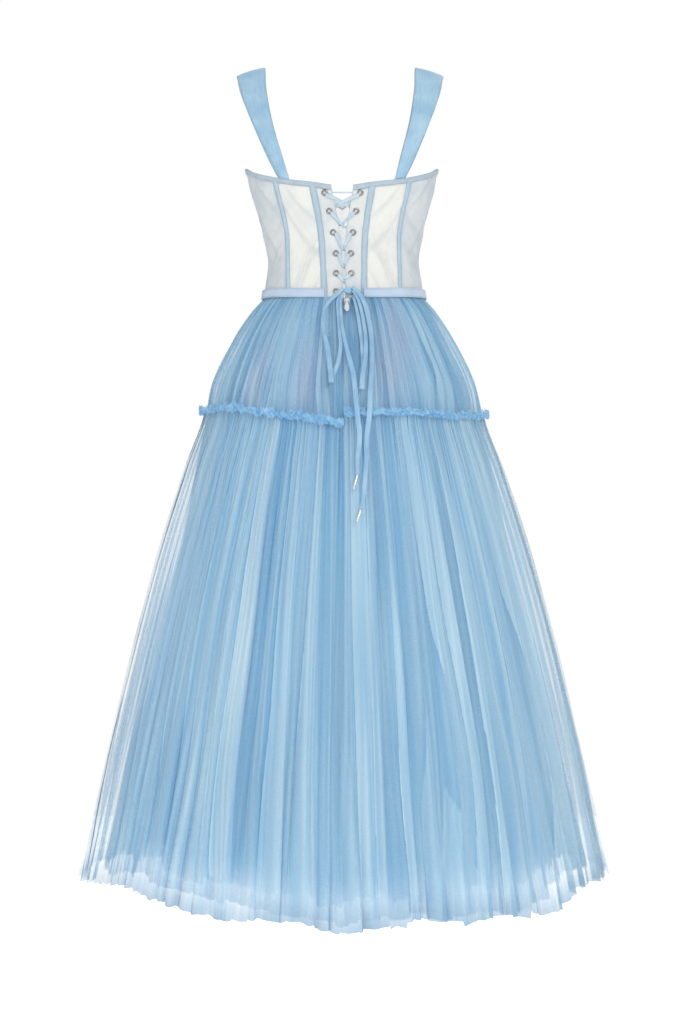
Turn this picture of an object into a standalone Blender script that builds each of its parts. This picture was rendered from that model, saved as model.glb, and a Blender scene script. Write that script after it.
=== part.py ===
"""A sky-blue corset dress with a laced back and a gathered two-tier net skirt, hollow and open as when it is worn.

+X is the wearer's right, +Y the wearer's front and +Z is up, so the laced back faces -Y. The origin lies
midway between the two shoulder straps, at the underside of their highest stretch, where the wearer carries them.
"""

import math
from collections import namedtuple

import bmesh
import bpy
from mathutils import Matrix, Vector

# Driving dimensions in metres. Every height is counted up from the lowest point of the hem.
SHOULDER_HEIGHT = 1.212
LEAN_START = 0.88
LEAN_SLOPE = 0.018  # the body leans this much to the wearer's left for each metre above LEAN_START
SEAM_GAP = 0.0004
MESH_THICKNESS = 0.0015
TULLE_THICKNESS = 0.0012
RIBBON_THICKNESS = 0.0010
BODY_SQUARENESS = 2.25  # 2 is an ellipse, more is squarer

Ring = namedtuple("Ring", "height half_width half_depth fold_depth squareness")
BodySection = namedtuple("BodySection", "height half_width back_depth front_depth")
BackSeams = namedtuple("BackSeams", "height opening eyelet bone_inner bone_outer")
Edge = namedtuple("Edge", "place height")
StrapStation = namedtuple("StrapStation", "x y height width edge_y edge_z")
Strand = namedtuple("Strand", "x height lift width")
TabRow = namedtuple("TabRow", "distance half_width")

BODICE = (
    BodySection(0.862, 0.1212, 0.0900, 0.0920),
    BodySection(0.889, 0.1178, 0.0875, 0.0890),
    BodySection(0.925, 0.1128, 0.0850, 0.0870),
    BodySection(0.955, 0.1175, 0.0885, 0.0950),
    BodySection(0.990, 0.1247, 0.0930, 0.1080),
    BodySection(1.030, 0.1370, 0.0985, 0.1170),
    BodySection(1.066, 0.1440, 0.1010, 0.1130),
)
# Each seam of the back is a distance from its middle line, at a height.
BACK_SEAMS = (
    BackSeams(0.862, 0.0016, 0.0123, 0.0290, 0.0815),
    BackSeams(0.900, 0.0016, 0.0109, 0.0297, 0.0820),
    BackSeams(0.929, 0.0016, 0.0109, 0.0307, 0.0818),
    BackSeams(0.959, 0.0038, 0.0144, 0.0325, 0.0822),
    BackSeams(0.990, 0.0091, 0.0196, 0.0370, 0.0875),
    BackSeams(1.021, 0.0150, 0.0271, 0.0425, 0.0950),
    BackSeams(1.040, 0.0180, 0.0310, 0.0450, 0.0985),
)
FRONT_SEAM = (Edge(0.862, 0.094), Edge(0.960, 0.100), Edge(1.066, 0.108))
# These edges give a height for a distance from the middle line.
BACK_TOP = (Edge(0.014, 1.026), Edge(0.043, 1.031), Edge(0.085, 1.0375), Edge(0.115, 1.046), Edge(0.132, 1.054), Edge(0.1437, 1.0645))
FRONT_TOP = (Edge(0.0, 1.030), Edge(0.016, 1.040), Edge(0.05, 1.058), Edge(0.09, 1.064), Edge(0.12, 1.058), Edge(0.1437, 1.0645))
UNDER_BUST = (Edge(0.0, 0.976), Edge(0.04, 0.964), Edge(0.08, 0.962), Edge(0.11, 0.962))
CUP_DEPTH = 0.016
CUP_MIDDLE = (0.068, 1.005)
CUP_SPREAD = (0.040, 0.036)
# Heights of the bodice's rows between its bottom and top edges, alike on both sides of every seam.
BACK_ROWS = (0.8865, 0.9144, 0.9440, 0.9743, 1.0040)
FRONT_ROWS = (0.8885, 0.9250, 0.9620, 0.9900, 1.0120, 1.0360)

# The skirt hangs from the waist seam. The ring heights between a tier's two edges are fixed.
WAIST_SEAM_BACK = 0.8640
WAIST_SEAM_SIDE = 0.8700
WAIST_SEAM_FRONT = 0.8660
UPPER_TIER = (
    Ring(0.866, 0.1195, 0.0915, 0.0010, 2.20),
    Ring(0.845, 0.1380, 0.1055, 0.0025, 2.15),
    Ring(0.800, 0.1665, 0.1440, 0.0035, 2.05),
    Ring(0.740, 0.1945, 0.1820, 0.0040, 2.00),
    Ring(0.690, 0.2056, 0.1982, 0.0005, 2.00),
)
LOWER_TIER = (
    Ring(0.693, 0.2081, 0.2007, 0.0005, 2.00),
    Ring(0.672, 0.2125, 0.2051, 0.0025, 2.00),
    Ring(0.610, 0.2355, 0.2300, 0.0055, 2.00),
    Ring(0.450, 0.2845, 0.2790, 0.0070, 2.00),
    Ring(0.220, 0.3425, 0.3380, 0.0090, 2.00),
    Ring(0.000, 0.3885, 0.3860, 0.0110, 2.00),
)
UNDER_SKIRT = (
    Ring(0.866, 0.1168, 0.0888, 0.0, 2.20),
    Ring(0.845, 0.1325, 0.1000, 0.0005, 2.15),
    Ring(0.800, 0.1580, 0.1355, 0.0015, 2.05),
    Ring(0.700, 0.1880, 0.1800, 0.0020, 2.00),
    Ring(0.450, 0.2600, 0.2550, 0.0030, 2.00),
    Ring(0.045, 0.3450, 0.3420, 0.0040, 2.00),
)
# The heights of this table are offsets from the seam between the tiers.
TIER_RUFFLE = (
    Ring(-0.0085, 0.2164, 0.2090, 0.0025, 2.00),
    Ring(0.0, 0.2137, 0.2063, 0.0020, 2.00),
    Ring(0.0085, 0.2139, 0.2065, 0.0030, 2.00),
)
# Bearings are degrees from the middle of the back, positive to the wearer's right.
TIER_SEAM_LEFT = (Edge(-180, 0.700), Edge(-135, 0.702), Edge(-90, 0.703), Edge(-45, 0.702), Edge(-30, 0.6915), Edge(-10, 0.683), Edge(0, 0.677))
TIER_SEAM_RIGHT = (Edge(0, 0.690), Edge(10, 0.693), Edge(25, 0.692), Edge(45, 0.690), Edge(60, 0.692), Edge(90, 0.698), Edge(135, 0.700), Edge(180, 0.700))
HEM = (
    Edge(-180, 0.010), Edge(-140, 0.018), Edge(-100, 0.014), Edge(-75, 0.018), Edge(-52, 0.036), Edge(-43, 0.026),
    Edge(-34, 0.021), Edge(-21, 0.014), Edge(-9, 0.012), Edge(0, 0.004), Edge(14, 0.014), Edge(22, 0.007),
    Edge(33, 0.014), Edge(44, 0.002), Edge(51, 0.006), Edge(58, 0.027), Edge(75, 0.022), Edge(100, 0.012),
    Edge(140, 0.006), Edge(180, 0.010),
)
UPPER_FOLDS = 60
LOWER_FOLDS = 64
RUFFLE_FOLDS = 48
UNDER_FOLDS = 24
FOLD_UNEVENNESS = 0.35

BONE_TAPE_WIDTH = 0.0085
BINDING_WIDTH = 0.0072
BINDING_RISE = 0.0008
WAISTBAND_HEIGHT = 0.0135
STRAP = (
    StrapStation(0.0842, -0.0830, 1.0390, 0.0172, 0.477, 0.226),
    StrapStation(0.0895, -0.0808, 1.0530, 0.0185, 0.42, 0.08),
    StrapStation(0.1003, -0.0740, 1.0823, 0.0225, 0.30, -0.03),
    StrapStation(0.1151, -0.0580, 1.1233, 0.0280, 0.22, -0.08),
    StrapStation(0.1225, -0.0450, 1.1489, 0.0335, 0.15, -0.14),
    StrapStation(0.1290, -0.0280, 1.1787, 0.0375, 0.08, -0.22),
    StrapStation(0.1325, -0.0100, 1.2040, 0.0425, 0.03, -0.28),
    StrapStation(0.1340, 0.0050, 1.2130, 0.0450, 0.0, -0.31),
    StrapStation(0.1335, 0.0200, 1.2085, 0.0440, -0.03, -0.28),
    StrapStation(0.1316, 0.0420, 1.1900, 0.0400, -0.10, -0.20),
    StrapStation(0.1205, 0.0700, 1.1500, 0.0320, -0.20, -0.10),
    StrapStation(0.1027, 0.0890, 1.1000, 0.0250, -0.30, -0.03),
    StrapStation(0.0895, 0.0940, 1.0657, 0.0180, -0.55, 0.0),
)
STRAP_CROWN = 0.0010

EYELET_HEIGHTS = (1.0158, 0.9895, 0.9590, 0.9290, 0.8998, 0.8731)
CROSSING_HEIGHTS = (1.0016, 0.9703, 0.9369, 0.9114, 0.8896)
EYELET_HOLE = 0.0025
EYELET_BARREL = 0.0031
EYELET_FLANGE = 0.0045
EYELET_METAL = 0.0006
EYELET_CLEARANCE = 0.0005
EYELET_SIDES = 10
LACE_THICKNESS = 0.0008
LACE_WIDTH = 0.0050
LACE_WIDTH_IN_EYELET = 0.0030
LACE_WIDTH_ON_EDGE = 0.0034
LACE_STAGGER = 0.0026  # the two halves pass in through the slit this far above and below each other's middle

# The bow and its tails lie on this bed: how far behind the middle the outermost cloth is, at a height.
BOW_BED = (
    Edge(0.450, 0.287), Edge(0.610, 0.2370), Edge(0.672, 0.2150), Edge(0.684, 0.2140), Edge(0.700, 0.2128), Edge(0.712, 0.2040),
    Edge(0.740, 0.1870), Edge(0.800, 0.1484), Edge(0.845, 0.1090), Edge(0.864, 0.0948), Edge(0.880, 0.0905),
)
BOW_BED_HALF_WIDTH = 0.20
KNOT_PLACE = (0.0055, 0.8735, 0.0047)
KNOT_RADII = (0.0060, 0.0030, 0.0048)
LOOP_LEFT = (
    Strand(-0.0014, 0.8762, 0.0036, 0.0050), Strand(-0.0100, 0.8690, 0.0052, 0.0058), Strand(-0.0192, 0.8598, 0.0050, 0.0052),
    Strand(-0.0282, 0.8456, 0.0030, 0.0042), Strand(-0.0310, 0.8314, 0.0018, 0.0040), Strand(-0.0296, 0.8126, 0.0014, 0.0052),
    Strand(-0.0242, 0.7882, 0.0016, 0.0066), Strand(-0.0204, 0.7603, 0.0036, 0.0070), Strand(-0.0186, 0.7420, 0.0050, 0.0070),
    Strand(-0.0180, 0.7362, 0.0046, 0.0070), Strand(-0.0178, 0.7342, 0.0031, 0.0068), Strand(-0.0175, 0.7362, 0.0018, 0.0062),
    Strand(-0.0158, 0.7430, 0.0014, 0.0056), Strand(-0.0120, 0.7540, 0.0014, 0.0056), Strand(-0.0081, 0.7658, 0.0014, 0.0056), Strand(-0.0051, 0.7882, 0.0014, 0.0050),
    Strand(-0.0062, 0.8055, 0.0014, 0.0048), Strand(-0.0082, 0.8348, 0.0014, 0.0046), Strand(-0.0092, 0.8560, 0.0014, 0.0044),
    Strand(-0.0060, 0.8655, 0.0016, 0.0040),
)
TAIL_LEFT = (
    Strand(-0.0012, 0.8690, 0.0040, 0.0040), Strand(-0.0045, 0.8600, 0.0040, 0.0040), Strand(-0.0048, 0.8480, 0.0036, 0.0040),
    Strand(-0.0040, 0.8340, 0.0032, 0.0042), Strand(-0.0029, 0.8200, 0.0031, 0.0044), Strand(0.0004, 0.7996, 0.0030, 0.0050),
    Strand(0.0057, 0.7762, 0.0018, 0.0060), Strand(0.0121, 0.7495, 0.0014, 0.0070), Strand(0.0150, 0.7280, 0.0014, 0.0072),
    Strand(0.0168, 0.7080, 0.0014, 0.0072), Strand(0.0185, 0.6860, 0.0014, 0.0072), Strand(0.0215, 0.6640, 0.0014, 0.0070),
    Strand(0.0207, 0.6436, 0.0014, 0.0068), Strand(0.0186, 0.6268, 0.0014, 0.0062), Strand(0.0184, 0.6101, 0.0014, 0.0054),
    Strand(0.0182, 0.6030, 0.0018, 0.0046),
)
LOOP_RIGHT = (
    Strand(0.0126, 0.8740, 0.0046, 0.0048), Strand(0.0180, 0.8660, 0.0040, 0.0048), Strand(0.0228, 0.8525, 0.0034, 0.0048),
    Strand(0.0274, 0.8289, 0.0036, 0.0050), Strand(0.0302, 0.8064, 0.0039, 0.0054), Strand(0.0308, 0.7822, 0.0042, 0.0058),
    Strand(0.0283, 0.7599, 0.0044, 0.0066), Strand(0.0256, 0.7400, 0.0048, 0.0070), Strand(0.0250, 0.7270, 0.0046, 0.0070),
    Strand(0.0249, 0.7245, 0.0031, 0.0068), Strand(0.0250, 0.7270, 0.0018, 0.0066), Strand(0.0256, 0.7400, 0.0014, 0.0060),
    Strand(0.0266, 0.7603, 0.0014, 0.0056), Strand(0.0254, 0.7897, 0.0014, 0.0052), Strand(0.0229, 0.8126, 0.0014, 0.0050),
    Strand(0.0198, 0.8361, 0.0014, 0.0046), Strand(0.0163, 0.8540, 0.0014, 0.0042), Strand(0.0138, 0.8640, 0.0016, 0.0040),
)
TAIL_RIGHT = (
    Strand(0.0124, 0.8790, 0.0060, 0.0050), Strand(0.0220, 0.8690, 0.0062, 0.0060), Strand(0.0298, 0.8540, 0.0052, 0.0064),
    Strand(0.0353, 0.8300, 0.0034, 0.0068), Strand(0.0384, 0.8060, 0.0018, 0.0070), Strand(0.0393, 0.7822, 0.0014, 0.0070),
    Strand(0.0387, 0.7525, 0.0014, 0.0070), Strand(0.0372, 0.7275, 0.0014, 0.0072), Strand(0.0360, 0.7060, 0.0014, 0.0072),
    Strand(0.0348, 0.6843, 0.0014, 0.0072), Strand(0.0320, 0.6618, 0.0014, 0.0070), Strand(0.0312, 0.6450, 0.0014, 0.0068),
    Strand(0.0310, 0.6268, 0.0014, 0.0068), Strand(0.0296, 0.6073, 0.0014, 0.0066), Strand(0.0281, 0.5892, 0.0014, 0.0062),
    Strand(0.0261, 0.5713, 0.0014, 0.0056), Strand(0.0228, 0.5555, 0.0018, 0.0046),
)
AGLET_LEFT = (Strand(0.0181, 0.6022, 0.0026, 0.0044), Strand(0.0127, 0.5830, 0.0034, 0.0028))
AGLET_RIGHT = (Strand(0.0225, 0.5547, 0.0026, 0.0044), Strand(0.0171, 0.5380, 0.0034, 0.0028))

# The zip's slider and pull lie along the slope of the skirt just below the waist seam.
ZIP_X = 0.0040
ZIP_HEIGHT = 0.8575
ZIP_SLOPE = 38.0
ZIP_CLEARANCE = 0.0004
ZIP_SINK = 0.0007  # it settles this far between the gathers
SLIDER_SIZE = (0.0080, 0.0018, 0.0100)
EAR_BLOCK = (0.0062, 0.0038, 0.0040)
EAR_SLOT = 0.0042
PIN_RADIUS = 0.0006
PIN_RISE = 0.0042
PIN_DROP = 0.0030
BARREL_RADIUS = 0.0015
BARREL_BORE = 0.0009
BARREL_LENGTH = 0.0034
TAB_THICKNESS = 0.0010
PULL_TAB = (
    TabRow(0.0, 0.0017), TabRow(0.0034, 0.0017), TabRow(0.0060, 0.0026), TabRow(0.0100, 0.0033),
    TabRow(0.0140, 0.0035), TabRow(0.0170, 0.0031), TabRow(0.0192, 0.0021), TabRow(0.0202, 0.0008),
)


def clear_scene():
    for old in list(bpy.data.objects):
        bpy.data.objects.remove(old, do_unlink=True)


def new_collection(name):
    made = bpy.data.collections.new(name)
    bpy.context.scene.collection.children.link(made)
    return made


def finish(name, colour, roughness, metallic=0.0):
    """A plain material; colour is linear red, green and blue."""
    made = bpy.data.materials.new(name)
    made.use_nodes = True
    shader = made.node_tree.nodes["Principled BSDF"]
    shader.inputs["Base Color"].default_value = (*colour, 1.0)
    shader.inputs["Roughness"].default_value = roughness
    shader.inputs["Metallic"].default_value = metallic
    return made


clear_scene()
DRESS = new_collection("Corset dress")
CUTTERS = new_collection("Cutters")
SKY_TULLE = finish("Sky tulle", (0.30, 0.52, 0.72), 0.85)
PALE_TULLE = finish("Pale tulle", (0.42, 0.62, 0.80), 0.85)
DEEP_TULLE = finish("Deep tulle", (0.22, 0.44, 0.66), 0.85)
SHEER_MESH = finish("Sheer corset mesh", (0.78, 0.80, 0.80), 0.60)
BONE_TAPE = finish("Bone tape", (0.50, 0.62, 0.72), 0.55)
SATIN = finish("Satin ribbon", (0.38, 0.60, 0.80), 0.35)
SILVER = finish("Silvered metal", (0.80, 0.80, 0.82), 0.25, 1.0)


def along(rows, at):
    """A table's row at any value of its first column, on a smooth curve through the rows on each side."""
    if at <= rows[0][0]:
        return rows[0]
    if at >= rows[-1][0]:
        return rows[-1]
    first = max(index for index in range(len(rows) - 1) if rows[index][0] <= at)
    before = rows[max(first - 1, 0)]
    here = rows[first]
    there = rows[first + 1]
    after = rows[min(first + 2, len(rows) - 1)]
    span = there[0] - here[0]
    t = (at - here[0]) / span

    def value(column):
        slope_here = (there[column] - before[column]) / (there[0] - before[0]) * span
        slope_there = (after[column] - here[column]) / (after[0] - here[0]) * span
        return (
            (2 * t**3 - 3 * t**2 + 1) * here[column]
            + (t**3 - 2 * t**2 + t) * slope_here
            + (3 * t**2 - 2 * t**3) * there[column]
            + (t**3 - t**2) * slope_there
        )

    return type(here)(*(value(column) for column in range(len(here))))


def straight(rows, at):
    """As along, but on straight lines between the rows, for edges that step."""
    if at <= rows[0][0]:
        return rows[0][1]
    for here, there in zip(rows, rows[1:]):
        if at <= there[0]:
            return here[1] + (there[1] - here[1]) * (at - here[0]) / (there[0] - here[0])
    return rows[-1][1]


def oval(turn, half_width, half_depth, squareness):
    """A point of a rounded oval and its outward direction. turn is in degrees from +X, anticlockwise from above."""
    across = math.cos(math.radians(turn))
    ahead = math.sin(math.radians(turn))
    power = 2 / squareness
    point = Vector((
        half_width * math.copysign(abs(across) ** power, across),
        half_depth * math.copysign(abs(ahead) ** power, ahead),
        0.0,
    ))
    outward = Vector((
        math.copysign(abs(across) ** (2 - power), across) / half_width,
        math.copysign(abs(ahead) ** (2 - power), ahead) / half_depth,
        0.0,
    ))
    return point, outward.normalized()


def in_frame(x, y, height):
    """A place given by its height above the hem, in the part's own frame."""
    lean = LEAN_SLOPE * max(0.0, height - LEAN_START)
    return Vector((x - lean, y, height - SHOULDER_HEIGHT))


def new_object(name, mesh, material, collection=None):
    made = bpy.data.objects.new(name, mesh)
    mesh.materials.append(material)
    (collection or DRESS).objects.link(made)
    return made


def cloth_wall(name, material, place, across, up, inner, outer):
    """A closed sheet of cloth. place(u, v, lift) gives a point, for each u of across and v of up."""
    columns = len(across)
    rows = len(up)
    points = [place(u, v, lift) for lift in (inner, outer) for v in up for u in across]

    def index(side, row, column):
        return (side * rows + row) * columns + column

    faces = []
    for row in range(rows - 1):
        for column in range(columns - 1):
            here = (row, column)
            across_from_here = (row + 1, column + 1)
            for corners in ((here, (row, column + 1), across_from_here), (here, across_from_here, (row + 1, column))):
                faces.append([index(1, *corner) for corner in corners])
                faces.append([index(0, *corner) for corner in reversed(corners)])
    rim = [(0, column) for column in range(columns)]
    rim += [(row, columns - 1) for row in range(1, rows)]
    rim += [(rows - 1, column) for column in range(columns - 2, -1, -1)]
    rim += [(row, 0) for row in range(rows - 2, 0, -1)]
    for here, there in zip(rim, rim[1:] + rim[:1]):
        faces.append([index(0, *here), index(0, *there), index(1, *there), index(1, *here)])
    mesh = bpy.data.meshes.new(name)
    mesh.from_pydata(points, [], faces)
    shape = bmesh.new()
    shape.from_mesh(mesh)
    bmesh.ops.recalc_face_normals(shape, faces=shape.faces)
    shape.to_mesh(mesh)
    shape.free()
    mesh.shade_smooth()
    mesh.set_sharp_from_angle(angle=math.radians(50))
    return new_object(name, mesh, material)


def ribbon(name, material, stations, thickness, crown=0.0, square=True):
    """A flat ribbon through stations of (centre, width, direction from one edge to the other). Its stations are
    turned square to its length unless square is False."""
    centres = [station[0] for station in stations]
    frames = []
    for number, (centre, width, edge) in enumerate(stations):
        travel = centres[min(number + 1, len(centres) - 1)] - centres[max(number - 1, 0)]
        travel.normalize()
        if square:
            edge = edge - travel * edge.dot(travel)
        edge = edge.normalized()
        frames.append((centre, width, edge, travel.cross(edge).normalized()))

    def place(share, number, lift):
        centre, width, edge, face = frames[number]
        return centre + edge * (width * share) + face * (lift + crown * (0.25 - share**2) * 4)

    shares = (-0.5, 0.0, 0.5) if crown else (-0.5, 0.5)
    return cloth_wall(name, material, place, shares, range(len(frames)), -thickness / 2, thickness / 2)


def primitive(name, material, fill, place, collection=None):
    """An object whose mesh fill(bmesh) makes, moved by the matrix place."""
    shape = bmesh.new()
    fill(shape)
    bmesh.ops.transform(shape, matrix=place, verts=shape.verts)
    mesh = bpy.data.meshes.new(name)
    shape.to_mesh(mesh)
    shape.free()
    return new_object(name, mesh, material, collection)


def cylinder(shape, radius, length, sides, matrix=None, tip=None):
    bmesh.ops.create_cone(
        shape, cap_ends=True, segments=sides, radius1=radius, radius2=tip if tip else radius, depth=length,
        matrix=matrix or Matrix.Identity(4),
    )


def combine(target, other, operation):
    """Cuts other from target, or joins it on, and hides it as a helper."""
    change = target.modifiers.new(operation.title(), "BOOLEAN")
    change.operation = operation
    change.object = other
    other.hide_render = True
    other.display_type = "WIRE"


def waist_seam(turn):
    """Height of the seam between bodice and skirt."""
    side = math.cos(math.radians(turn)) ** 2
    middle = WAIST_SEAM_FRONT if math.sin(math.radians(turn)) > 0 else WAIST_SEAM_BACK
    return middle + (WAIST_SEAM_SIDE - middle) * side


def bearing_of(turn):
    """Degrees from the middle of the back, positive to the wearer's right."""
    return (turn + 90 + 180) % 360 - 180


def tier_seam(turn):
    """Height of the seam between the two tiers, which steps at the middle of the back."""
    bearing = bearing_of(turn)
    return straight(TIER_SEAM_LEFT if bearing < 0 else TIER_SEAM_RIGHT, bearing)


def hem_height(turn):
    return straight(HEM, bearing_of(turn))


def uneven(number, phase):
    """A steady, uneven value between -1 and 1 for each fold."""
    return 0.6 * math.sin(2.4 * number + phase) + 0.4 * math.sin(5.1 * number + 2.0 * phase)


Fold = namedtuple("Fold", "turn level depth")


def fold_line(start, end, count, profile, phase):
    """The points of count uneven folds between two turns. profile has the (share, level) of each point of a fold."""
    widths = [1 + FOLD_UNEVENNESS * uneven(number, phase) for number in range(count)]
    scale = (end - start) / sum(widths)
    line = [Fold(start, 0.0, 1.0)]
    turn = start
    for number, width in enumerate(widths):
        depth = 1 + FOLD_UNEVENNESS * uneven(number, phase + 1.7)
        for share, level in profile:
            line.append(Fold(turn + width * scale * share, level, min(depth, 1.25)))
        turn += width * scale
    line.append(Fold(end, 0.0, 1.0))
    return line


LEANING_FOLD = ((0.18, 1.0), (0.48, -0.25), (0.82, -1.0))
PLAIN_FOLD = ((0.25, 1.0), (0.75, -1.0))


def gathered_wall(name, material, rings, top, bottom, start, end, folds, profile, phase, thickness):
    """A gathered stretch of skirt between two turns. top and bottom give the heights of its edges."""
    gap = math.degrees(SEAM_GAP / 2 / rings[0].half_width)
    line = fold_line(start + gap, end - gap, folds, profile, phase)

    def place(fold, number, lift):
        ring = rings[number]
        height = ring.height
        if number == 0:
            height = top(fold.turn)
        elif number == len(rings) - 1:
            height = bottom(fold.turn)
        point, outward = oval(fold.turn, ring.half_width, ring.half_depth, ring.squareness)
        point += outward * (ring.fold_depth * fold.level * fold.depth / 1.25 + lift)
        return in_frame(point.x, point.y, height)

    return cloth_wall(name, material, place, line, range(len(rings)), -thickness / 2, thickness / 2)


QUARTERS = (("back_left", -180, -90, 0.3), ("back_right", -90, 0, 1.1), ("front_right", 0, 90, 2.2), ("front_left", 90, 180, 3.4))


def make_skirt():
    lower_rings = (LOWER_TIER[0], LOWER_TIER[1]) + LOWER_TIER[2:]
    for quarter, start, end, phase in QUARTERS:
        gathered_wall(
            f"upper_tier_{quarter}", SKY_TULLE, UPPER_TIER,
            lambda turn: waist_seam(turn) - SEAM_GAP / 2, lambda turn: tier_seam(turn) - 0.006,
            start, end, UPPER_FOLDS // 4, PLAIN_FOLD, phase, TULLE_THICKNESS,
        )
        gathered_wall(
            f"lower_tier_{quarter}", PALE_TULLE, lower_rings,
            lambda turn: tier_seam(turn) + 0.003, hem_height,
            start, end, LOWER_FOLDS // 4, LEANING_FOLD, phase + 0.9, TULLE_THICKNESS,
        )
    for half, start, end, phase in (("left", 90, 270, 0.4), ("right", -90, 90, 1.6)):
        gathered_wall(
            f"under_skirt_{half}", DEEP_TULLE, UNDER_SKIRT,
            lambda turn: waist_seam(turn) - SEAM_GAP, lambda turn: hem_height(turn) + UNDER_SKIRT[-1].height,
            start, end, UNDER_FOLDS // 2, PLAIN_FOLD, phase, 0.001,
        )
        ruffle_half(half, start, end, phase)


def ruffle_half(half, start, end, phase):
    """The gathered strip that covers the seam between the tiers."""
    gap = math.degrees(SEAM_GAP / TIER_RUFFLE[0].half_width)
    line = fold_line(start + gap, end - gap, RUFFLE_FOLDS // 2, PLAIN_FOLD, phase)

    def place(fold, number, lift):
        ring = TIER_RUFFLE[number]
        point, outward = oval(fold.turn, ring.half_width, ring.half_depth, ring.squareness)
        point += outward * (ring.fold_depth * fold.level * fold.depth / 1.25 + lift)
        return in_frame(point.x, point.y, tier_seam(fold.turn) + ring.height)

    cloth_wall(f"tier_ruffle_{half}", PALE_TULLE, place, line, range(len(TIER_RUFFLE)), -0.0004, 0.0004)


def turn_at(x, height, face):
    """The turn of a place on the right half of the bodice, x from the middle line. face is -1 behind, 1 in front."""
    share = min(1.0, max(0.0, x / along(BODICE, height).half_width))
    return face * math.degrees(math.acos(share ** (BODY_SQUARENESS / 2)))


def bodice_point(turn, height, lift):
    """A point lift outside the right half of the bodice, as x, y and height."""
    section = along(BODICE, height)
    behind = math.sin(math.radians(turn)) < 0
    depth = section.back_depth if behind else section.front_depth
    point, outward = oval(turn, section.half_width, depth, BODY_SQUARENESS)
    if not behind:
        aside = (abs(point.x) - CUP_MIDDLE[0]) / CUP_SPREAD[0]
        above = (height - CUP_MIDDLE[1]) / CUP_SPREAD[1]
        fullness = CUP_DEPTH * math.exp(-(aside**2) - above**2) * math.sin(math.radians(turn))
        point += outward * fullness
    point += outward * lift
    return Vector((point.x, point.y, height))


def on_bodice(turn, height, lift, side):
    """The same place on the wearer's right (side 1) or left (side -1), in the part's frame."""
    point = bodice_point(turn, height, lift)
    return in_frame(point.x * side, point.y, point.z)


def back_seam(column):
    """A seam of the back, as a function from height to turn."""
    return lambda height: turn_at(getattr(along(BACK_SEAMS, height), column), height, -1)


def front_seam(height):
    return turn_at(along(FRONT_SEAM, height).height, height, 1)


def side_seam(height):
    return 0.0


def front_middle(height):
    return 90.0


def height_on(edge, seams, share):
    """Height at which the line a share of the way between two seams meets a top or bottom edge."""
    height = 1.04
    for _ in range(8):
        start, end = (seam(height) for seam in seams)
        x = bodice_point(start + (end - start) * share, height, 0.0).x
        height = along(edge, abs(x)).height
    return height


EDGE_BELOW = 0
EDGE_ABOVE = 2


def bodice_piece(name, material, seams, bottom, top, columns, rows, side, lifts):
    """A panel between two seams. bottom and top take a share of the way across and give a height, and rows are
    the heights between them."""
    gap = math.degrees(SEAM_GAP / 2 / BODICE[0].half_width)

    def place(share, row, lift):
        height = row
        if row == EDGE_BELOW:
            height = bottom(share)
        elif row == EDGE_ABOVE:
            height = top(share)
        else:
            height = min(height, top(share) - 0.009)
        start, end = (seam(height) for seam in seams)
        inset = math.copysign(gap, end - start)
        turn = start + inset + (end - start - 2 * inset) * share
        return on_bodice(turn, height, lift, side)

    shares = [column / columns for column in range(columns + 1)]
    return cloth_wall(name, material, place, shares, (EDGE_BELOW, *rows, EDGE_ABOVE), *lifts)


def to_waist(seams):
    """The bottom edge of a panel that ends at the waist seam."""
    def bottom(share):
        start, end = (seam(WAIST_SEAM_BACK) for seam in seams)
        return waist_seam(start + (end - start) * share) + SEAM_GAP / 2
    return bottom


def to_edge(edge, seams, offset=0.0):
    return lambda share: height_on(edge, seams, share) + offset


PANEL_LIFTS = (-MESH_THICKNESS, 0.0)
CUP_COLUMNS = 8


def make_bodice(side, word):
    opening, bone_inner, bone_outer = (back_seam(name) for name in ("opening", "bone_inner", "bone_outer"))
    back_pieces = (
        ("lacing_panel", (opening, bone_inner), 2),
        ("back_panel", (bone_inner, bone_outer), 4),
        ("side_back_panel", (bone_outer, side_seam), 5),
    )
    for name, seams, columns in back_pieces:
        bodice_piece(
            f"{name}_{word}", SHEER_MESH, seams, to_waist(seams), to_edge(BACK_TOP, seams), columns, BACK_ROWS,
            side, PANEL_LIFTS,
        )
    seams = (side_seam, front_seam)
    bodice_piece(
        f"side_front_panel_{word}", SHEER_MESH, seams, to_waist(seams), to_edge(FRONT_TOP, seams), 4, FRONT_ROWS,
        side, PANEL_LIFTS,
    )
    seams = (front_seam, front_middle)
    bodice_piece(
        f"cup_{word}", SHEER_MESH, seams, to_edge(UNDER_BUST, seams, SEAM_GAP / 2), to_edge(FRONT_TOP, seams),
        CUP_COLUMNS, FRONT_ROWS[3:], side, PANEL_LIFTS,
    )
    for name, seam in (("bone_tape_inner", bone_inner), ("bone_tape_outer", bone_outer)):
        bone_tape(f"{name}_{word}", seam, side)
    front_bone_tape(word, side)


def make_front_panel():
    """The panel below the cups, in one piece across the front."""
    seams = (front_seam, front_middle)
    low = to_waist(seams)
    high = to_edge(UNDER_BUST, seams, -SEAM_GAP / 2)
    gap = math.degrees(SEAM_GAP / 2 / BODICE[0].half_width)
    columns = CUP_COLUMNS

    def place(share, row, lift):
        side = 1 if share >= 0 else -1
        inward = 1 - abs(share)
        height = row
        if row == EDGE_BELOW:
            height = low(inward)
        elif row == EDGE_ABOVE:
            height = high(inward)
        start = front_seam(height) + gap
        return on_bodice(start + (90.0 - start) * inward, height, lift, side)

    shares = [step / columns for step in range(columns, -columns - 1, -1)]
    cloth_wall("front_panel", SHEER_MESH, place, shares, (EDGE_BELOW, *FRONT_ROWS[:2], EDGE_ABOVE), *PANEL_LIFTS)


TAPE_LIFTS = (0.0004, 0.0013)


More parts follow.
